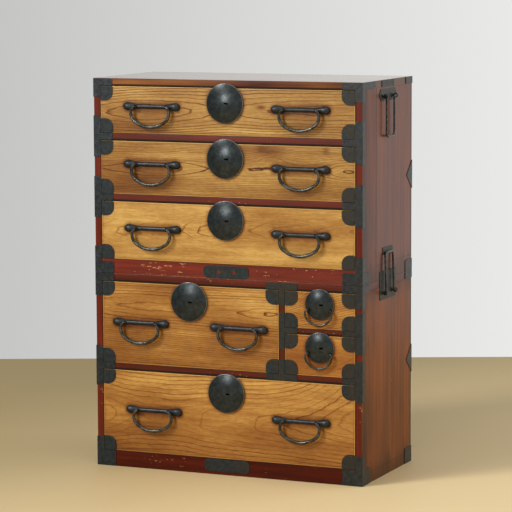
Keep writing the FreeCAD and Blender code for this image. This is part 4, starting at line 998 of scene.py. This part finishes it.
def nail_rows():
    """The tree that sets nail heads along every loop of edges, facing as the loop does."""
    tree = bpy.data.node_groups.new("nail_rows", "GeometryNodeTree")
    kinds = {"Rows": "Geometry", "Pitch": "Float", "Closest": "Float", "Head radius": "Float",
             "Head height": "Float", "Seed": "Int", "Iron": "Material"}
    for name, kind in kinds.items():
        tree.interface.new_socket(name, in_out="INPUT", socket_type="NodeSocket" + kind)
    tree.interface.new_socket("Heads", in_out="OUTPUT", socket_type="NodeSocketGeometry")
    given = {name: add(tree, "NodeGroupInput", output=name) for name in kinds}
    rows = add(tree, "GeometryNodeMeshToCurve", {}, {"Mesh": given["Rows"]})
    rows = add(tree, "GeometryNodeResampleCurve", {"mode": "LENGTH"}, {
        "Curve": rows, "Length": given["Pitch"]})
    spots = add(tree, "GeometryNodeCurveToPoints", {"mode": "EVALUATED"}, {"Curve": rows}, "Points")
    spots = add(tree, "GeometryNodeMergeByDistance", {"mode": "ALL"}, {
        "Geometry": spots, "Distance": given["Closest"]})
    outward = add(tree, "GeometryNodeInputNamedAttribute", {"data_type": "FLOAT_VECTOR"}, {
        "Name": "outward"}, "Attribute")
    turn = add(tree, "FunctionNodeAlignRotationToVector", {"axis": "Z"}, {"Vector": outward})
    size = add(tree, "FunctionNodeRandomValue", {"data_type": "FLOAT"}, {
        2: 0.85, 3: 1.15, "Seed": given["Seed"]}, 1)
    head = add(tree, "GeometryNodeMeshUVSphere", {}, {"Segments": 8, "Rings": 5, "Radius": 1.0}, "Mesh")
    flat = add(tree, "ShaderNodeCombineXYZ", {}, {
        "X": given["Head radius"], "Y": given["Head radius"], "Z": given["Head height"]})
    head = add(tree, "GeometryNodeTransform", {}, {"Geometry": head, "Scale": flat})
    heads = add(tree, "GeometryNodeInstanceOnPoints", {}, {
        "Points": spots, "Instance": head, "Rotation": turn, "Scale": size})
    heads = add(tree, "GeometryNodeRealizeInstances", {}, {"Geometry": heads})
    heads = add(tree, "GeometryNodeSetShadeSmooth", {}, {"Geometry": heads})
    heads = add(tree, "GeometryNodeSetMaterial", {}, {"Geometry": heads, "Material": given["Iron"]})
    add(tree, "NodeGroupOutput", {}, {"Heads": heads}, None)
    return tree


def plate_rows(node):
    """Loops drawn in from the edges of a node's plates, and the way that each one faces."""
    rows = []
    for faces in solids_of(frame["nodes"][node].data):
        bm = merged(faces)
        bm.normal_update()
        low, high = box_of(vertex.co for vertex in bm.verts)
        for way, level in ((Vector((0, -1, 0)), -low.y), (Vector((1, 0, 0)), high.x),
                           (Vector((-1, 0, 0)), -low.x)):
            if way.x and level < case_high.x:
                continue
            outer = [face for face in bm.faces if face.normal.dot(way) > FACING_LEAST
                     and abs(face.calc_center_median().dot(way) - level) < FLUSH_WITHIN]
            if sum(face.calc_area() for face in outer) < PLATE_AREA_LEAST:
                continue
            copy = bm.copy()
            copy.faces.ensure_lookup_table()
            inner = [copy.faces[face.index] for face in outer]
            bmesh.ops.inset_region(copy, faces=inner, thickness=NAIL_INSET, use_even_offset=True,
                                   use_boundary=True)
            chosen = set(inner)
            for edge in copy.edges:
                ends = [vertex.co.copy() for vertex in edge.verts]
                held = all(low[axis] <= end[axis] <= high[axis] for end in ends for axis in range(3))
                if held and sum(face in chosen for face in edge.link_faces) == 1:
                    rows.append((ends, way))
            copy.free()
        bm.free()
    return rows


def nailed(node, tree):
    """The nail heads on a node's plates, as one piece."""
    mesh = bpy.data.meshes.new(node + "_nails")
    places = {}
    edges = []
    for ends, way in plate_rows(node):
        edges.append([places.setdefault((tuple(end), tuple(way)), len(places)) for end in ends])
    mesh.from_pydata([place for place, way in places], edges, [])
    outward = mesh.attributes.new("outward", "FLOAT_VECTOR", "POINT")
    for index, (place, way) in enumerate(places):
        outward.data[index].vector = way
    piece = placed(node + "_nails", mesh)
    modifier = piece.modifiers.new("nails", "NODES")
    modifier.node_group = tree
    values = dict(NAIL, Iron=finishes["forged_iron"])
    for item in tree.interface.items_tree:
        if item.name in values:
            modifier[item.identifier] = values[item.name]
    plain = evaluated(piece)
    piece.modifiers.clear()
    piece.data = plain
    handed_over(piece, node, in_place=False)


nail_tree = nail_rows()
for node in ["lower_ironwork", "upper_ironwork"] + [drawer + "_ironwork" for drawer in DRAWERS]:
    nailed(node, nail_tree)


# Bails.

PIN_STRAIGHT = 3.0 * MM
GRIP_STRAIGHT = 6.0 * MM
WIRE_SIDES = 14

# A bail is its pin down to this little under its pivot.
PIN_WITHIN = 0.1 * MM


def arc(centre, radius, start, end, count, wide=1.0, high=1.0):
    """Points along an arc, by angles in degrees: 0 is outwards, 90 is up."""
    angles = [math.radians(start + (end - start) * index / count) for index in range(count + 1)]
    return [(centre[0] + radius * wide * math.cos(angle), centre[1] + radius * high * math.sin(angle))
            for angle in angles]


def drawer_bail_line(half_width, drop, corner, upright, side, pin_end):
    """Right half of a drawer bail's middle line, from the end of its pin to its lowest point."""
    foot = -corner - upright
    height = drop + foot
    low_radius = (half_width ** 2 + height ** 2 - 2 * half_width * side) / (2 * (height - side))
    low_centre = foot + low_radius - height
    side_centre = half_width - side
    meet = math.degrees(math.atan2(foot - low_centre, side_centre))
    shoulder = half_width - pin_end - PIN_STRAIGHT
    line = [(pin_end, 0.0)]
    line += [(half_width - shoulder + across, foot + up) for across, up in arc(
        (0.0, 0.0), 1.0, 90, 0, 10, shoulder, -foot)]
    line += arc((side_centre, foot), side, 0, meet, 10)[1:]
    line += arc((0.0, low_centre), low_radius, meet, -90, 10)[1:]
    return line


def carry_bail_line(half_width, length, corner, bend, pin_end):
    """Right half of a carrying bail's middle line, hanging."""
    line = [(pin_end, 0.0)]
    line += arc((half_width + bend, -bend), bend, 90, 180, 4)
    line += arc((half_width - corner, corner - length), corner, 0, -90, 6)
    line += [(half_width - corner - GRIP_STRAIGHT, -length), (0.0, -length)]
    return line


def wire(name, line, radius_at, turn):
    """A round wire along a flat line, mirrored about its middle; turn puts it in place."""
    path = line + [(-across, up) for across, up in reversed(line[:-1])]
    rings = []
    for index, (across, up) in enumerate(path):
        before = path[max(index - 1, 0)]
        after = path[min(index + 1, len(path) - 1)]
        run = Vector((after[0] - before[0], 0.0, after[1] - before[1])).normalized()
        outward = Vector((run.z, 0.0, -run.x))
        radius = radius_at(abs(across), up)
        rings.append([
            turn @ (Vector((across, radius * math.sin(angle), up)) + outward * radius * math.cos(angle))
            for angle in circle(WIRE_SIDES)])
    bm = closed_shape(rings)
    for face in bm.faces:
        face.smooth = len(face.verts) == 4
    mesh = mesh_of(bm, name)
    mesh.materials.append(finishes["bail_iron"])
    handed_over(placed(name + "_piece", mesh), name)


# Solid is the radius of the CAD model's wire; pin, leg and grip are the radii of the remade one.
BAIL = dict(solid=3.9 * MM, pin=2.7 * MM, leg=4.0 * MM, grip=5.0 * MM,
            bends=dict(corner=8.5 * MM, upright=9.0 * MM, side=30.0 * MM, pin_end=43.0 * MM))
SMALL_BAIL = dict(solid=2.5 * MM, pin=2.0 * MM, leg=2.5 * MM, grip=3.3 * MM,
                  bends=dict(corner=4.5 * MM, upright=3.0 * MM, side=30.0 * MM, pin_end=28.0 * MM))
CARRY = dict(half_width=30.0 * MM, length=110.0 * MM, corner=11.0 * MM, bend=5.0 * MM,
             pin_end=42.0 * MM)
CARRY_SOLID = 3.2 * MM
CARRY_LEG = 3.0 * MM
CARRY_GRIP = 3.4 * MM
CARRY_GRIP_FROM_SHARE = 0.95


def hanging_bail(name, sizes):
    """A drawer's bail, thinner where it enters the eyes than at its lowest point."""
    low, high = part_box(name)
    pivot = PIVOTS[name]
    half_width = (high.x - low.x) / 2 - sizes["solid"]
    drop = pivot.z - low.z - sizes["solid"]

    def radius_at(across, up):
        if up > -PIN_WITHIN:
            return sizes["pin"]
        share = min(1.0, max(0.0, -up / drop))
        return sizes["leg"] + (sizes["grip"] - sizes["leg"]) * share ** 1.3

    line = drawer_bail_line(half_width, drop, **sizes["bends"])
    wire(name, line, radius_at, Matrix.Translation(pivot))


def carry_radius(across, up):
    """Radius of a carrying bail, which is thicker where the hand grips it."""
    return CARRY_GRIP if up < -CARRY["length"] * CARRY_GRIP_FROM_SHARE else CARRY_LEG


for drawer in DRAWERS:
    for end, sizes in (("_bail_left", BAIL), ("_bail_right", BAIL), ("_bail", SMALL_BAIL)):
        if drawer + end in PIVOTS:
            hanging_bail(drawer + end, sizes)

for side_name, side in (("left", -1), ("right", 1)):
    for section in ("upper", "lower"):
        name = "%s_carry_bail_%s" % (section, side_name)
        pivot = PIVOTS[name]
        low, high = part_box(name)
        turn = Matrix.Translation(pivot)
        if section == "lower":
            grip = (low.x if side > 0 else high.x) + side * CARRY_SOLID
            lean = math.asin(abs(pivot.x - grip) / CARRY["length"])
            turn = turn @ Matrix.Rotation(-side * (math.pi + lean), 4, "Y")
        turn = turn @ Matrix.Rotation(math.pi / 2, 4, "Z")
        wire(name, carry_bail_line(**CARRY), carry_radius, turn)


# Floor, light and camera.

# The floor's reach from the chest: towards the camera, away from it, and to either side.
FLOOR_NEAR = 3.2
FLOOR_FAR = 1.87
FLOOR_SIDE = 3.2

# Colours of the floor's painted shade and painted light.
FLOOR_SHADED = (0.42, 0.315, 0.145)
FLOOR_LIT = (0.98, 0.76, 0.42)


def stage_floor():
    """A floor, square to the view, with painted light: darker to the left and paler to the right; above its
    far edge the pale room shows.
    """
    finish = Finish("floor_finish", roughness=0.6, specular_ior_level=0.2)
    x, y, z = finish.place().parts()
    cloud = finish.noise(finish.place(), 0.9, detail=3.0)
    # Painted light: the floor is shaded to the left and lit to the right, as by a window on the right.
    lit = (x * 0.7 - y * 0.2 + cloud * 0.3).step(-0.9, 0.95)
    colour = finish.mix(lit, FLOOR_SHADED, FLOOR_LIT)
    turn = Matrix.Rotation(math.radians(CAMERA_YAW), 4, "Z")
    corners = [turn @ Vector(corner) for corner in (
        (-FLOOR_SIDE, -FLOOR_NEAR, 0.0), (FLOOR_SIDE, -FLOOR_NEAR, 0.0),
        (FLOOR_SIDE, FLOOR_FAR, 0.0), (-FLOOR_SIDE, FLOOR_FAR, 0.0))]
    mesh = bpy.data.meshes.new("floor")
    mesh.from_pydata(corners, [], [(0, 1, 2, 3)])
    mesh.materials.append(finish.feed(base_color=colour))
    placed("floor", mesh)


LAMP_TARGET = Vector((0.0, 0.0, 0.55))


def lamp(name, azimuth, elevation, distance, width, height, power, colour=(1.0, 1.0, 1.0)):
    """A soft box that looks at the chest; azimuth 0 is in front, and turns to the right."""
    light = bpy.data.lights.new(name, "AREA")
    light.shape = "RECTANGLE"
    light.size = width
    light.size_y = height
    light.energy = power
    light.color = colour
    turn = math.radians(azimuth)
    rise = math.radians(elevation)
    away = Vector((math.sin(turn) * math.cos(rise), -math.cos(turn) * math.cos(rise), math.sin(rise)))
    item = placed(name, light)
    item.location = LAMP_TARGET + away * distance
    item.rotation_euler = (-away).to_track_quat("-Z", "Y").to_euler()


def surround(light_share):
    """A pale room, brighter to the right and the back, that lights by a share of what is seen."""
    world = bpy.data.worlds.new("room")
    bpy.context.scene.world = world
    world.use_nodes = True
    tree = world.node_tree
    x, y, z = add(tree, "ShaderNodeTexCoord", output="Generated").parts()
    bright = (x * 1.28 + y * 0.25 + 0.97).most(0.3).least(0.85)
    seen = greatest([add(tree, "ShaderNodeLightPath", output=ray) for ray in (
        "Is Camera Ray", "Is Glossy Ray", "Is Transmission Ray")])
    shade = tree.nodes["Background"]
    shade.inputs["Color"].default_value = (0.99, 1.0, 0.975, 1.0)
    tree.links.new((bright * (seen * (1.0 - light_share) + light_share)).socket, shade.inputs["Strength"])


CAMERA_PLACE = Vector((2.8358, -6.4993, 1.4551))
CAMERA_YAW = 23.497
CAMERA_PITCH = 6.916
CAMERA_ROLL = -0.2408
CAMERA_ANGLE = 11.562
SENSOR_WIDTH = 36.0


def photograph_camera():
    """The photograph's camera, as fitted to the chest's corners."""
    data = bpy.data.cameras.new("photograph")
    data.sensor_width = SENSOR_WIDTH
    data.lens = SENSOR_WIDTH / 2 / math.tan(math.radians(CAMERA_ANGLE) / 2)
    item = placed("photograph", data)
    item.matrix_world = (
        Matrix.Translation(CAMERA_PLACE)
        @ Matrix.Rotation(math.radians(CAMERA_YAW), 4, "Z")
        @ Matrix.Rotation(math.radians(90 - CAMERA_PITCH), 4, "X")
        @ Matrix.Rotation(math.radians(CAMERA_ROLL), 4, "Z"))
    bpy.context.scene.camera = item


stage_floor()
lamp("key", azimuth=-36, elevation=34, distance=7.0, width=1.6, height=1.9, power=268,
     colour=(1.0, 0.985, 0.96))
lamp("glint", azimuth=-21, elevation=12, distance=4.4, width=0.55, height=0.6, power=32)
lamp("overhead", azimuth=10, elevation=68, distance=3.6, width=2.2, height=2.2, power=21)
lamp("window", azimuth=118, elevation=24, distance=4.5, width=4.0, height=3.6, power=55)
surround(light_share=0.38)
photograph_camera()
bpy.context.scene.view_settings.view_transform = "Standard"
